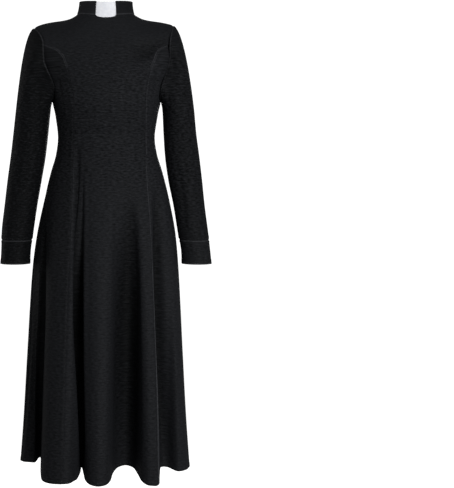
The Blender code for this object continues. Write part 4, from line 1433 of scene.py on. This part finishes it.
def noise(tree: Tree, where: Socket, scale: float, detail: float = 1.0, **more: float) -> Socket:
    """A noise pattern, whose scale counts its patches in one unit of the places given."""
    inputs = {"Vector": where, "Scale": scale, "Detail": detail, **more}
    return add_node(tree, "TexNoise", inputs=inputs).outputs["Fac"]


def calculate(tree: Tree, operation: str, *values: object, clamp: bool = False) -> Socket:
    """The result of one sum, such as MULTIPLY or ADD, of numbers and outputs."""
    settings = {"operation": operation, "use_clamp": clamp}
    return add_node(tree, "Math", settings, dict(enumerate(values))).outputs[0]


def bump(tree: Tree, height: Socket, strength: float, distance: float, **under: Socket) -> Socket:
    """The surface's direction over a height pattern, laid over another one given as Normal."""
    inputs = {"Height": height, "Strength": strength, "Distance": distance, **under}
    return add_node(tree, "Bump", inputs=inputs).outputs["Normal"]


@dataclass(frozen=True)
class Finish:
    """What a material is made of: two tones, a pattern's values at which they stand, and its
    roughness. Each kind adds its own nodes."""

    name: str
    dark: str
    light: str
    low: float = 0.3
    high: float = 0.7
    roughness: float = 0.5

    def make(self) -> Material:
        """A new material with this finish's nodes.

        Returns:
            The material.
        """
        material = bpy.data.materials.new(self.name)
        material.use_nodes = True
        tree = material.node_tree
        shader = tree.nodes["Principled BSDF"]
        set_inputs(tree, shader, {"Roughness": self.roughness, **self.surface(tree)})
        return material

    def tone(self, tree: Tree, pattern: Socket) -> Socket:
        """The colour between the two tones that a pattern's value stands for.

        Args:
            tree: The material's nodes.
            pattern: The pattern.

        Returns:
            The colour.
        """
        ramp = add_node(tree, "ValToRGB", inputs={"Fac": pattern})
        stops = zip(ramp.color_ramp.elements, (self.low, self.high), (self.dark, self.light))
        for stop, at, colour in stops:
            stop.position = at
            stop.color = linear(colour)
        return ramp.outputs["Color"]

    def surface(self, tree: Tree) -> dict:
        """The shader's other inputs, by name."""
        raise NotImplementedError


@dataclass(frozen=True)
class BlackKnit(Finish):
    """Double-knit polyester jersey, dyed black and lightly brushed, so that its face has a soft
    nap_and_painted_shade: deep black with a cool sheen at a low angle, and fine crosswise crinkles. Widths and
    heights of the pattern are in millimetres, and what a bump rises in metres."""

    name: str = "brushed black double knit"
    dark: str = "#0b0c0d"
    light: str = "#27282b"
    low: float = 0.28
    high: float = 0.72
    roughness: float = 0.6
    # The colour of the painted highlights along seams and fold edges.
    painted_shine: str = "#444548"
    crinkle_wide: float = 20.0
    crinkle_tall: float = 5.5
    crinkle_bump: float = 1.0
    crinkle_high: float = 0.006
    crinkle_detail: float = 3.0
    crinkle_broken: float = 0.55
    crinkle_stray: float = 0.35
    fleck_wide: float = 10.0
    fleck_tall: float = 3.6
    fleck_detail: float = 2.0
    fleck_least: float = 0.13
    fleck_by_crinkle: float = 0.85
    nap_scale: float = 500.0
    nap_bump: float = 0.3
    nap_high: float = 0.0008
    specular: float = 0.05
    sheen: float = 0.012
    sheen_roughness: float = 0.45
    sheen_tint: str = "#c4c8da"

    def stretched(self, tree: Tree, wide: float, tall: float) -> Socket:
        """Places on the flat cloth, counted in a pattern's width and height in millimetres.

        Args:
            tree: The material's nodes.
            wide: The width.
            tall: The height.

        Returns:
            The places.
        """
        scale = (1000 / wide, 1000 / tall, 1.0)
        where = attribute(tree, "flat_place", "Vector")
        return add_node(tree, "Mapping", inputs={"Vector": where, "Scale": scale}).outputs[0]

    def surface(self, tree: Tree) -> dict:
        """The shader's inputs. The pattern runs on the flat cloth's own places: crinkles some 20 mm
        wide and 5.5 mm tall, as the picture shows them, flecks of half their width, and a nap drawn
        at 2 mm, coarser than the real one of a quarter of a millimetre, which would not show. Tone
        follows the flecks and the painted light and shade of the shade attribute, and painted
        highlights lie along seams and fold edges in broken lines.

        Args:
            tree: The material's nodes.

        Returns:
            Numbers and outputs, by input.
        """
        crinkled = attribute(tree, "crinkle")
        crinkles = self.stretched(tree, self.crinkle_wide, self.crinkle_tall)
        ripple = noise(tree, crinkles, 1.0, self.crinkle_detail, Roughness=self.crinkle_broken,
                       Distortion=self.crinkle_stray)
        flecks = self.stretched(tree, self.fleck_wide, self.fleck_tall)
        fleck = noise(tree, flecks, 1.0, self.fleck_detail)
        grain = noise(tree, attribute(tree, "flat_place", "Vector"), self.nap_scale)
        nap_and_painted_shade = bump(tree, grain, self.nap_bump, self.nap_high)
        lifted = calculate(tree, "MULTIPLY", ripple, crinkled)
        uneven = calculate(tree, "MULTIPLY_ADD", crinkled, self.fleck_by_crinkle, self.fleck_least)
        apart = calculate(tree, "SUBTRACT", fleck, 0.5)
        flecked = calculate(tree, "MULTIPLY_ADD", apart, uneven, 0.5)
        # Painted light and shade of the shade attribute, added to the tone.
        shaded = calculate(tree, "ADD", flecked, attribute(tree, "shade"))
        tone = self.tone(tree, shaded)
        # Painted highlights, mixed into the colour in broken lines.
        broken_highlight = calculate(tree, "MULTIPLY", attribute(tree, "pressed"), fleck, clamp=True)
        highlighted = add_node(tree, "Mix", {"data_type": "RGBA"},
                         {"Factor": broken_highlight, 6: tone, 7: linear(self.painted_shine)})
        return {
            "Base Color": highlighted.outputs[2],
            "Normal": bump(tree, lifted, self.crinkle_bump, self.crinkle_high, Normal=nap_and_painted_shade),
            "Specular IOR Level": self.specular,
            "Sheen Weight": self.sheen,
            "Sheen Roughness": self.sheen_roughness,
            "Sheen Tint": linear(self.sheen_tint),
        }


@dataclass(frozen=True)
class WhiteTab(Finish):
    """Smooth white polypropylene sheet, as clerical collar tabs are cut from: bright, slightly cool
    and softly glossy, with a faint moulded grain."""

    name: str = "white polypropylene tab"
    dark: str = "#eceef4"
    light: str = "#f8f9fd"
    roughness: float = 0.42
    patch_scale: float = 85.0
    grain_scale: float = 1200.0
    grain_bump: float = 0.15
    grain_high: float = 0.0003

    def surface(self, tree: Tree) -> dict:
        """Two near whites in soft patches 12 mm wide, and a grain of 0.8 mm.

        Args:
            tree: The material's nodes.

        Returns:
            Numbers and outputs, by input.
        """
        where = object_places(tree)
        grain = noise(tree, where, self.grain_scale)
        return {
            "Base Color": self.tone(tree, noise(tree, where, self.patch_scale)),
            "Normal": bump(tree, grain, self.grain_bump, self.grain_high),
        }


@dataclass(frozen=True)
class PalePaper(Finish):
    """Matt off-white background paper, with a faint tooth. It is lit from behind, so that it stays
    white to its far edge."""

    name: str = "white background paper"
    dark: str = "#f4f4f2"
    light: str = "#fbfbfa"
    roughness: float = 0.9
    tooth_scale: float = 160.0
    glow: float = 0.91

    def surface(self, tree: Tree) -> dict:
        """A tooth that shows as soft patches 6 mm across, and the glow.

        Args:
            tree: The material's nodes.

        Returns:
            Numbers and outputs, by input.
        """
        return {
            "Base Color": self.tone(tree, noise(tree, object_places(tree), self.tooth_scale)),
            "Emission Color": linear(self.light),
            "Emission Strength": self.glow,
        }


@dataclass(frozen=True)
class BlackThread(Finish):
    """Spun polyester sewing thread, dyed black: a little shinier than the knit it lies on."""

    name: str = "black sewing thread"
    dark: str = "#131316"
    light: str = "#34343a"
    low: float = 0.2
    high: float = 0.8
    specular: float = 0.35
    twist_scale: float = 150.0
    twist_stray: float = 0.5

    def surface(self, tree: Tree) -> dict:
        """Its twist shows as bands 1 mm apart.

        Args:
            tree: The material's nodes.

        Returns:
            Numbers and outputs, by input.
        """
        twist = add_node(tree, "TexWave", {"bands_direction": "DIAGONAL"},
                         {"Vector": object_places(tree), "Scale": self.twist_scale,
                          "Distortion": self.twist_stray})
        return {"Base Color": self.tone(tree, twist.outputs["Fac"]),
                "Specular IOR Level": self.specular}


@dataclass(frozen=True)
class ZipMetal(Finish):
    """Nickel-plated zinc alloy, die-cast and tumbled: grey, with fine wear."""

    dark: str = "#6c6c72"
    light: str = "#909096"
    high: float = 0.6
    roughness: float = 0.3
    mark_scale: float = 1600.0
    mark_detail: float = 3.0
    mark_bump: float = 0.12
    mark_high: float = 0.0002

    def surface(self, tree: Tree) -> dict:
        """Tumbling marks about 0.6 mm across, which are darker and lower than the rest.

        Args:
            tree: The material's nodes.

        Returns:
            Numbers and outputs, by input.
        """
        marks = noise(tree, object_places(tree), self.mark_scale, self.mark_detail)
        return {
            "Base Color": self.tone(tree, marks),
            "Normal": bump(tree, marks, self.mark_bump, self.mark_high),
            "Metallic": 1.0,
        }


@dataclass
class Stitches:
    """Short straight stitches that lie on the cloth: their length, gap and thickness, how far they
    lift, how slim and how deep their ends are, and over what reach they take their direction."""

    long: float = 3.2
    gap: float = 1.1
    thick: float = 0.55
    lift: float = 0.12
    slim: float = 0.45
    dip: float = 0.6
    reach: float = 0.8

    def template(self) -> Pair:
        """One stitch along X with Z out: five rings of six points whose radius swells as a sine, so
        that both ends dip into the cloth. The end caps are quads.

        Returns:
            Its points and quads.
        """
        u = np.linspace(0, 1, 5)[:, None]
        a = np.radians(np.arange(6) * 60)[None, :]
        swell = self.slim + (1 - self.slim) * np.sin(np.pi * u)
        x = (u - 0.5) * self.long * np.ones_like(a)
        y = self.thick / 2 * swell * np.cos(a)
        sink = self.thick * self.dip * (2 * u - 1) ** 4
        z = self.thick / 2 * swell * np.sin(a) - sink + self.lift
        number = np.arange(30).reshape(5, 6)
        sides = np.stack([c.reshape(-1) for c in WEAVE.corners(number, True)], 1)[:, ::-1]
        caps = np.array([[0, 1, 2, 3], [0, 3, 4, 5], [27, 26, 25, 24], [29, 28, 27, 24]])
        return np.stack([x, y, z], -1).reshape(-1, 3), np.concatenate([sides, caps])

    def along(self, line: Array, facing: Array) -> Pair:
        """Stitches along a line of points on the cloth.

        Args:
            line: The line's points.
            facing: The cloth's outward directions there.

        Returns:
            Points and quads of all its stitches.
        """
        run = run_along(line)
        count = max(int(run[-1] / (self.long + self.gap)), 1)
        at = (np.arange(count) + 0.5) * run[-1] / count
        middle, out = line_at(at, run, line), unit(line_at(at, run, facing))
        way = unit(line_at(at + self.reach, run, line) - line_at(at - self.reach, run, line))
        across = unit(np.cross(out, way))
        shape, quads = self.template()
        axes = np.stack([way, across, np.cross(way, across)], 1)
        points = middle[:, None] + shape @ axes
        more = (np.arange(count) * len(shape))[:, None, None] + quads[None]
        return points.reshape(-1, 3), more.reshape(-1, 4)


@dataclass
class Row:
    """A row of stitches: its name, and the lines of points that it follows."""

    name: str
    lines: List[Pair]

    def build(self, stitches: Stitches, material: Material) -> bpy.types.Object:
        """One mesh of all the row's stitches.

        Args:
            stitches: The stitches' sizes.
            material: The thread.

        Returns:
            The object.
        """
        points, quads, at = [], [], 0
        for line, facing in self.lines:
            p, q = stitches.along(line, facing)
            points.append(p)
            quads.append(q + at)
            at += len(p)
        mesh = mesh_of(self.name, np.concatenate(points), np.concatenate(quads))
        return place(self.name, mesh, material)


@dataclass(frozen=True)
class Collar:
    """The stand collar, in two halves that meet at the zip and stop at the white tab."""

    per_column: int = 4
    rows: int = 2
    per_row: int = 5
    edges: Tuple[float, ...] = (0.04, 0.1, 0.16)
    bulge: float = 1.0

    def grids(self) -> Grids:
        """Both halves of the collar, from beside the tab round to the middle of the back. Their
        ends by the tab curve back half-way up, so that the tab bulges.

        Returns:
            Points, by piece.
        """
        front = [a for a in NECK_FRONT_ANGLES if a >= NECK.tab_half_angle]
        stops = front + [90] + list(NECK_BACK_ANGLES)
        angles = read_at(stops, fine_steps(len(stops) - 1, self.per_column))
        bulge = self.bulge * (angles == NECK.tab_half_angle)
        ups = fine_steps(self.rows, self.per_row, self.edges) / self.rows
        wide = [angles + bulge * 4 * up * (1 - up) for up in ups]
        right = np.array([NECK.collar(a, up) for a, up in zip(wide, ups)])
        left = np.array([NECK.collar(-a[::-1], up) for a, up in zip(wide, ups)])
        return {"collar_r": right, "collar_l": left}


@dataclass(frozen=True)
class Tab:
    """The white tab between the collar's front ends: how far it reaches behind them on both sides
    in degrees, how deep it lies behind their face, its wall, its share of their height."""

    tuck: float = 9.0
    inset: float = 2.45
    wall: float = 1.0
    top: float = 0.97
    columns: int = 49
    rows: int = 15

    def grid(self) -> Array:
        """The white tab's outer face: the collar's own curve between the collar's ends, and flat
        behind them, moved in behind the collar's wall.

        Returns:
            The points, by row and column.
        """
        half = NECK.tab_half_angle
        angles = np.linspace(-half - self.tuck, half + self.tuck, self.columns)
        beyond = (np.maximum(np.abs(angles) - half, 0.0) / (NECK.next_angle - half))[:, None]
        near, far = np.clip(angles, -half, half), np.copysign(NECK.next_angle, angles)
        a = np.radians(angles)
        inward = np.stack([np.sin(a), -np.cos(a), np.zeros_like(a)], -1) * self.inset
        rows = []
        for up in np.linspace(0.0, self.top, self.rows):
            flat = NECK.collar(near, up)
            rows.append(flat + beyond * (NECK.collar(far, up) - flat) - inward)
        return np.array(rows)

    def build(self, white: Material) -> None:
        """The white tab, a thin sheet behind the collar's ends.

        Args:
            white: The tab's plastic.
        """
        grid = self.grid()
        facing = WEAVE.facings({"tab": grid}, set(), set())["tab"]
        mesh = mesh_of("collar_tab_sheet", *shell(grid, facing, self.wall, False, False))
        piece = place("collar_tab_sheet", mesh, white)
        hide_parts("collar_tab")
        log.info("collar_tab: %d points", len(mesh.vertices))


@dataclass(frozen=True)
class Stitching:
    """All stitching that shows: its distances from hem, cuff edge, cuff seam and neck seam, and
    the points left out at both ends of the neck's lines."""

    hem_line: float = 8.5
    cuff_line: float = 9.0
    seam_line: float = 3.6
    neck_line: float = 5.0
    neck_trim: int = 2

    def build(self, laid: Grids, facings: Grids, thread: Material) -> None:
        """The rows of stitches along the hem, both cuffs and the neck seam.

        Args:
            laid: Points of the outer skins.
            facings: Outward directions.
            thread: The thread's material.
        """
        stitches = Stitches()
        hem = [self.line(n, "bottom", self.hem_line, laid, facings) for n in PANELS]
        rows = [Row("hem_stitching", hem)]
        for side in Side:
            cuff, sleeve = "cuff_" + side.letter, "sleeve_" + side.letter
            lines = [self.line(cuff, "top", self.cuff_line, laid, facings, True),
                     self.line(cuff, "bottom", self.seam_line, laid, facings, True),
                     self.line(sleeve, "top", self.seam_line, laid, facings, True)]
            rows.append(Row("cuff_stitching_" + side.letter, lines))
        neck = []
        for name, low, high in (("centre_front", 0.25, 0.75), ("centre_back_r", 0.5, 1),
                                ("centre_back_l", 0, 0.5)):
            line, out = self.line(name, "top", self.neck_line, laid, facings)
            keep = slice(int(low * len(line)) + self.neck_trim,
                         int(high * len(line)) - self.neck_trim)
            neck.append((line[keep], out[keep]))
        rows.append(Row("neck_stitching", neck))
        for row in rows:
            row.build(stitches, thread)
            log.info("%s: %d rows", row.name, len(row.lines))

    def line(self, name: str, edge: str, far: float, laid: Grids, facings: Grids,
             tube: bool = False) -> Pair:
        """A line of points a distance from a piece's edge, with their outward directions.

        Args:
            name: The piece.
            edge: bottom or top.
            far: Distance from the edge.
            laid: Points of the outer skins.
            facings: Outward directions.
            tube: Whether the line closes on itself.

        Returns:
            Points and directions.
        """
        order = slice(None) if edge == "bottom" else slice(None, None, -1)
        run = WEAVE.distance(laid[name], edge)[order]
        i = np.clip((run < far).sum(0), 1, len(run) - 1)
        cols = np.arange(run.shape[1])
        share = ((far - run[i - 1, cols]) / (run[i, cols] - run[i - 1, cols]))[:, None]
        points, out = (values[order][i - 1, cols] * (1 - share) + values[order][i, cols] * share
                       for values in (laid[name], facings[name]))
        out = unit(out)
        if tube:
            points, out = np.concatenate([points, points[:1]]), np.concatenate([out, out[:1]])
        return points, out


@dataclass(frozen=True)
class ZipCoil:
    """The coil of the closed zip: its lower end's height, its pitch and radius, how much smaller
    every other ring is, and how flat it lies."""

    end: float = -540.0
    pitch: float = 1.6
    radius: float = 1.0
    rib: float = 0.18
    flat: float = 0.7

    def build(self, laid: Grids, facings: Grids, coil: Material) -> None:
        """The zip's coil in the middle seam of the back: a flattened cord of rings of eight points,
        every other one a little smaller.

        Args:
            laid: Points of the outer skins.
            facings: Outward directions.
            coil: The coil's material.
        """
        above = laid["centre_back_l"][:, 0, 2] > self.end
        line, out = (np.concatenate([g["centre_back_l"][above, 0], g["collar_l"][1:-1, 0]])
                     for g in (laid, facings))
        run = run_along(line)
        at = np.arange(0, run[-1], self.pitch / 2)
        middle = line_at(at, run, line)
        way = unit(np.gradient(middle, axis=0))
        outward = unit(line_at(at, run, out))
        across = unit(np.cross(outward, way))
        a = np.radians(np.arange(8) * 45)[None, :, None]
        valley = np.arange(len(at)) % 2 == 0
        rib = (self.radius * (1 - self.rib * valley))[:, None, None]
        ring = middle[:, None] + rib * (np.cos(a) * across[:, None]
                                        + self.flat * np.sin(a) * outward[:, None])
        count = ring.shape[0] * ring.shape[1]
        number = np.arange(count).reshape(-1, 8)
        quads = np.stack([c.reshape(-1) for c in WEAVE.corners(number, True)], 1)
        caps = np.array([[3, 2, 1, 0], [7, 4, 3, 0], [7, 6, 5, 4]])
        ends = np.concatenate([caps, (caps + count - 8)[:, ::-1]])
        mesh = mesh_of("zip_coil", ring.reshape(-1, 3), np.concatenate([quads, ends]))
        place("zip_coil", mesh, coil)
        log.info("zip_coil: %d points", count)


@dataclass
class Dress:
    """The whole dress: it works out each piece's surface, adds creases and seams, and builds it.
    Sizes are the wall, how much painted shade a crease gets by depth, where a hem's turned edge
    ends, over what width and by what step, and the crinkle's strength at its heights."""

    wall: float = 1.1
    fold_shade: float = 0.011
    hem_turn: float = 9.0
    hem_rise: float = 2.5
    hem_step: float = 0.5
    crinkle_z: Tuple[float, ...] = (-1180, -700, -460, -400, -150, -60, 60)
    crinkle_share: Tuple[float, ...] = (0.45, 0.5, 0.75, 1.0, 1.0, 0.3, 0.12)

    def panels(self) -> List[Panel]:
        """The seven body panels, from the photograph's left side round the front and the back.

        Returns:
            The panels.
        """
        left = YokeStops.of_side(-TIP_LEFT, FRONT_SEAM_L[0].x,
                                 [a for a in NECK_FRONT_ANGLES if a < 0])
        right = YokeStops.of_side(TIP_RIGHT, FRONT_SEAM_R[0].x,
                                  [a for a in NECK_FRONT_ANGLES[::-1] if a > 0])
        back_r = YokeStops.of_side(TIP_RIGHT, BACK_SEAM_R[0].x, NECK_BACK_ANGLES)
        back_l = YokeStops.of_side(-TIP_LEFT, BACK_SEAM_L[0].x, [-a for a in NECK_BACK_ANGLES])
        return [
            SidePanel("side_front_l", SIDE_FRONT_L, False, FRONT_LEVELS, steps=10, side=-90.0,
                      seam=FRONT_SEAM_L, armhole=FRONT_ARMHOLE_L),
            CentrePanel("centre_front", CENTRE_FRONT, False, FRONT_LEVELS, first=FRONT_SEAM_L,
                        last=FRONT_SEAM_R, stops=left.join(right.reverse())),
            SidePanel("side_front_r", SIDE_FRONT_R, False, FRONT_LEVELS, steps=8, side=90.0,
                      seam=FRONT_SEAM_R, armhole=FRONT_ARMHOLE_R, side_first=False),
            SidePanel("side_back_r", SIDE_BACK_R, True, BACK_LEVELS, steps=7, side=90.0,
                      seam=BACK_SEAM_R, armhole=BACK_ARMHOLE_R),
            CentrePanel("centre_back_r", CENTRE_BACK_R, True, BACK_LEVELS, first=BACK_SEAM_R,
                        stops=back_r),
            CentrePanel("centre_back_l", CENTRE_BACK_L, True, BACK_LEVELS, last=BACK_SEAM_L,
                        stops=back_l.reverse()),
            SidePanel("side_back_l", SIDE_BACK_L, True, BACK_LEVELS, steps=7, side=270.0,
                      seam=BACK_SEAM_L, armhole=BACK_ARMHOLE_L, side_first=False),
        ]

    def arms(self, body: Grids, yoke_rows: int) -> Grids:
        """Both sleeves and cuffs, from the armhole edges of the panels that they are sewn to.

        Args:
            body: The panels' points.
            yoke_rows: Rows of a yoke.

        Returns:
            Points, by piece.
        """
        found = {}
        for side in Side:
            flip = slice(None, None, -1) if side is Side.LEFT else slice(None)
            front_col, back_col = (0, -1) if side is Side.LEFT else (-1, 0)
            front = body["centre_front"][:-yoke_rows - 2:-1, front_col]
            side_front = body["side_front_" + side.letter][-1, flip]
            side_back = body["side_back_" + side.letter][-1, flip]
            back = body["centre_back_" + side.letter][-yoke_rows - 1:, back_col]
            ring = np.concatenate([front, side_front[1:], side_back[1:], back[1:-1]])
            sleeve = Sleeve(side)
            under = len(front) + len(side_front) - 2
            found["sleeve_" + side.letter], angle = sleeve.grid(ring, under)
            found["cuff_" + side.letter] = sleeve.cuff(angle)
        return found

    def crinkle(self, z: Array) -> Array:
        """How strong the crosswise crinkles are: full from bust to hip, less on skirt and yoke."""
        return np.interp(z, self.crinkle_z, self.crinkle_share)

    def relief(self, name: str, grid: Array, facing: Array) -> Array:
        """How far a piece's surface goes in at each point for its creases, seams and turned hem.

        Args:
            name: The piece.
            grid: Its points.
            facing: Their outward directions.

        Returns:
            The depth at each point.
        """
        depth = crease_depth(name, grid, facing) + WEAVE.seam(grid, SEWN[name])
        if name in HEMS:
            far = WEAVE.distance(grid, HEMS[name])
            depth += self.hem_step * eased((far - self.hem_turn) / self.hem_rise)
        return depth

    def shade(self, name: str, grid: Array, facing: Array) -> Array:
        """How much paler each point's colour is painted: its piece's painted light and shade, which
        changes from front to back, and painted shade on the floors of creases, because less light
        of the room gets into them, with a painted highlight on ridges.

        Args:
            name: The piece.
            grid: Its points.
            facing: Their outward directions.

        Returns:
            The shade at each point.
        """
        before, behind = SHADES.get(name, (0.0, 0.0))
        # Painted light and shade of the piece, from its front value to its back value as the cloth
        # turns.
        nap_and_painted_shade = before + (behind - before) * np.clip(facing[..., 1], 0.0, 1.0)
        # Painted shade in the floors of creases, and a painted highlight on ridges.
        return nap_and_painted_shade - self.fold_shade * crease_depth(name, grid, facing)

    def build(self, cloth: Material, white: Material, thread: Material) -> None:
        """Builds every piece.

        Args:
            cloth: The black knit.
            white: The tab's plastic.
            thread: The sewing thread and the zip's coil.
        """
        panels = self.panels()
        grids = {p.name: p.grid() for p in panels}
        grids.update(self.arms(grids, panels[1].yoke_count))
        grids.update(Collar().grids())
        tubes = {n for n in grids if n.startswith(ARM)}
        turned = {"sleeve_l", "cuff_l"}
        facings = WEAVE.facings(grids, tubes, turned)
        laid = {}
        for name, grid in grids.items():
            laid[name] = grid - facings[name] * self.relief(name, grid, facings[name])[..., None]
            skin = shell(laid[name], facings[name], self.wall, name in tubes, name in turned)
            self.build_cloth(name, grid, facings[name], mesh_of(name + "_cloth", *skin), cloth)
        Tab().build(white)
        Stitching().build(laid, facings, thread)
        ZipCoil().build(laid, facings, thread)

    def build_cloth(self, name: str, grid: Array, facing: Array, mesh: Mesh,
                    cloth: Material) -> None:
        """One sewn piece: the values that its material reads, and what it stands for.

        Args:
            name: The piece's node.
            grid: Its points before creases and seams.
            facing: Their outward directions.
            mesh: Its shell.
            cloth: The black knit.
        """
        flat = WEAVE.flat_places(grid, "sleeve" in name).reshape(-1, 3)
        pressed = WEAVE.pressed(name, grid).reshape(-1)
        set_attribute(mesh, "flat_place", flat)
        set_attribute(mesh, "crinkle", self.crinkle(grid[..., 2]).reshape(-1))
        # Painted light and shade for the material's tone.
        set_attribute(mesh, "shade", self.shade(name, grid, facing).reshape(-1))
        # Painted highlights along seams and fold edges, on the outer skin alone.
        set_attribute(mesh, "pressed", pressed, np.zeros_like(pressed))
        piece = place(name + "_cloth", mesh, cloth)
        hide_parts(name)
        log.info("%s: %d points", name, len(mesh.vertices))


@dataclass
class Studio:
    """White paper and soft light, with the camera that took the picture. Distances are in metres,
    the lens and its sensor in millimetres and the pitch in degrees."""

    distance: float = 2.42
    height: float = -0.42
    lens: float = 67.85
    pitch: float = 1.69
    shift_x: float = 0.2480
    shift_y: float = -0.0775
    sensor: float = 36.0
    sight: float = 60.0
    floor_z: float = -2.05
    floor_half: float = 9.0
    fill: float = 0.16
    backdrop: float = 1.15

    def camera(self) -> None:
        """The camera in front of the dress, a little above its middle, tilted down."""
        data = bpy.data.cameras.new("camera")
        data.lens = self.lens
        data.sensor_width = self.sensor
        data.shift_x = self.shift_x
        data.shift_y = self.shift_y
        data.clip_end = self.sight
        camera = bpy.data.objects.new("camera", data)
        camera.location = (0.0, -self.distance, self.height)
        camera.rotation_euler = (math.radians(90 - self.pitch), 0.0, 0.0)
        bpy.context.scene.collection.objects.link(camera)
        bpy.context.scene.camera = camera

    def lamp(self, lamp: Lamp) -> None:
        """A soft square light that points at its target.

        Args:
            lamp: Its place, target, size and power.
        """
        data = bpy.data.lights.new(lamp.name, "AREA")
        data.energy = lamp.watts
        data.size = lamp.size
        light = bpy.data.objects.new(lamp.name, data)
        light.location = (lamp.x, lamp.y, lamp.z)
        tilt = math.atan2(math.hypot(lamp.x, lamp.y), lamp.z - lamp.target_z)
        light.rotation_euler = (tilt, 0.0, math.atan2(lamp.x, -lamp.y))
        bpy.context.scene.collection.objects.link(light)

    def floor(self) -> None:
        """A pale floor far below the hem, out of reach of the dress's shadow. It is a backdrop for
        the camera alone: its glow doesn't light the dress from below."""
        half, z = self.floor_half / MM, self.floor_z / MM
        corners = np.array([[-half, -half, z], [half, -half, z], [half, half, z], [-half, half, z]])
        mesh = mesh_of("floor", corners, np.array([[0, 1, 2, 3]]))
        mesh.materials.append(PalePaper().make())
        floor = bpy.data.objects.new("floor", mesh)
        bpy.context.scene.collection.objects.link(floor)
        floor.visible_diffuse = False
        floor.visible_glossy = False

    def world(self) -> None:
        """White behind everything for the camera, and a dimmer even light for the dress."""
        world = bpy.data.worlds.new("white studio")
        world.use_nodes = True
        tree = world.node_tree
        tree.nodes.clear()
        rays = add_node(tree, "LightPath").outputs["Is Camera Ray"]
        strength = add_node(tree, "MapRange", inputs={"Value": rays, "To Min": self.fill,
                                                      "To Max": self.backdrop})
        back = add_node(tree, "Background", inputs={"Color": (1.0, 1.0, 1.0, 1.0),
                                                    "Strength": strength.outputs["Result"]})
        add_node(tree, "OutputWorld", inputs={"Surface": back.outputs["Background"]})
        bpy.context.scene.world = world

    def build(self) -> None:
        """The whole studio."""
        bpy.context.scene.view_settings.view_transform = "Standard"
        self.world()
        self.floor()
        for lamp in LAMPS:
            self.lamp(lamp)
        self.camera()


def main() -> None:
    """Builds the dress and the studio."""
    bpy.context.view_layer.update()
    dress = Dress()
    dress.build(BlackKnit().make(), WhiteTab().make(), BlackThread().make())
    pull = ZipMetal("nickel plated zip pull", dark="#77777e", light="#9c9ca2", roughness=0.34)
    for name, finish in (("zip_slider", ZipMetal("nickel plated zip slider")), ("zip_pull", pull)):
        metal = finish.make()
        for slot in bpy.data.objects[name].material_slots:
            slot.material = metal
        log.info("%s: %s", name, metal.name)
    Studio().build()
    log.info("studio, camera and sizes done")


if __name__ == "__main__":
    logging.basicConfig(level=logging.INFO)
    main()
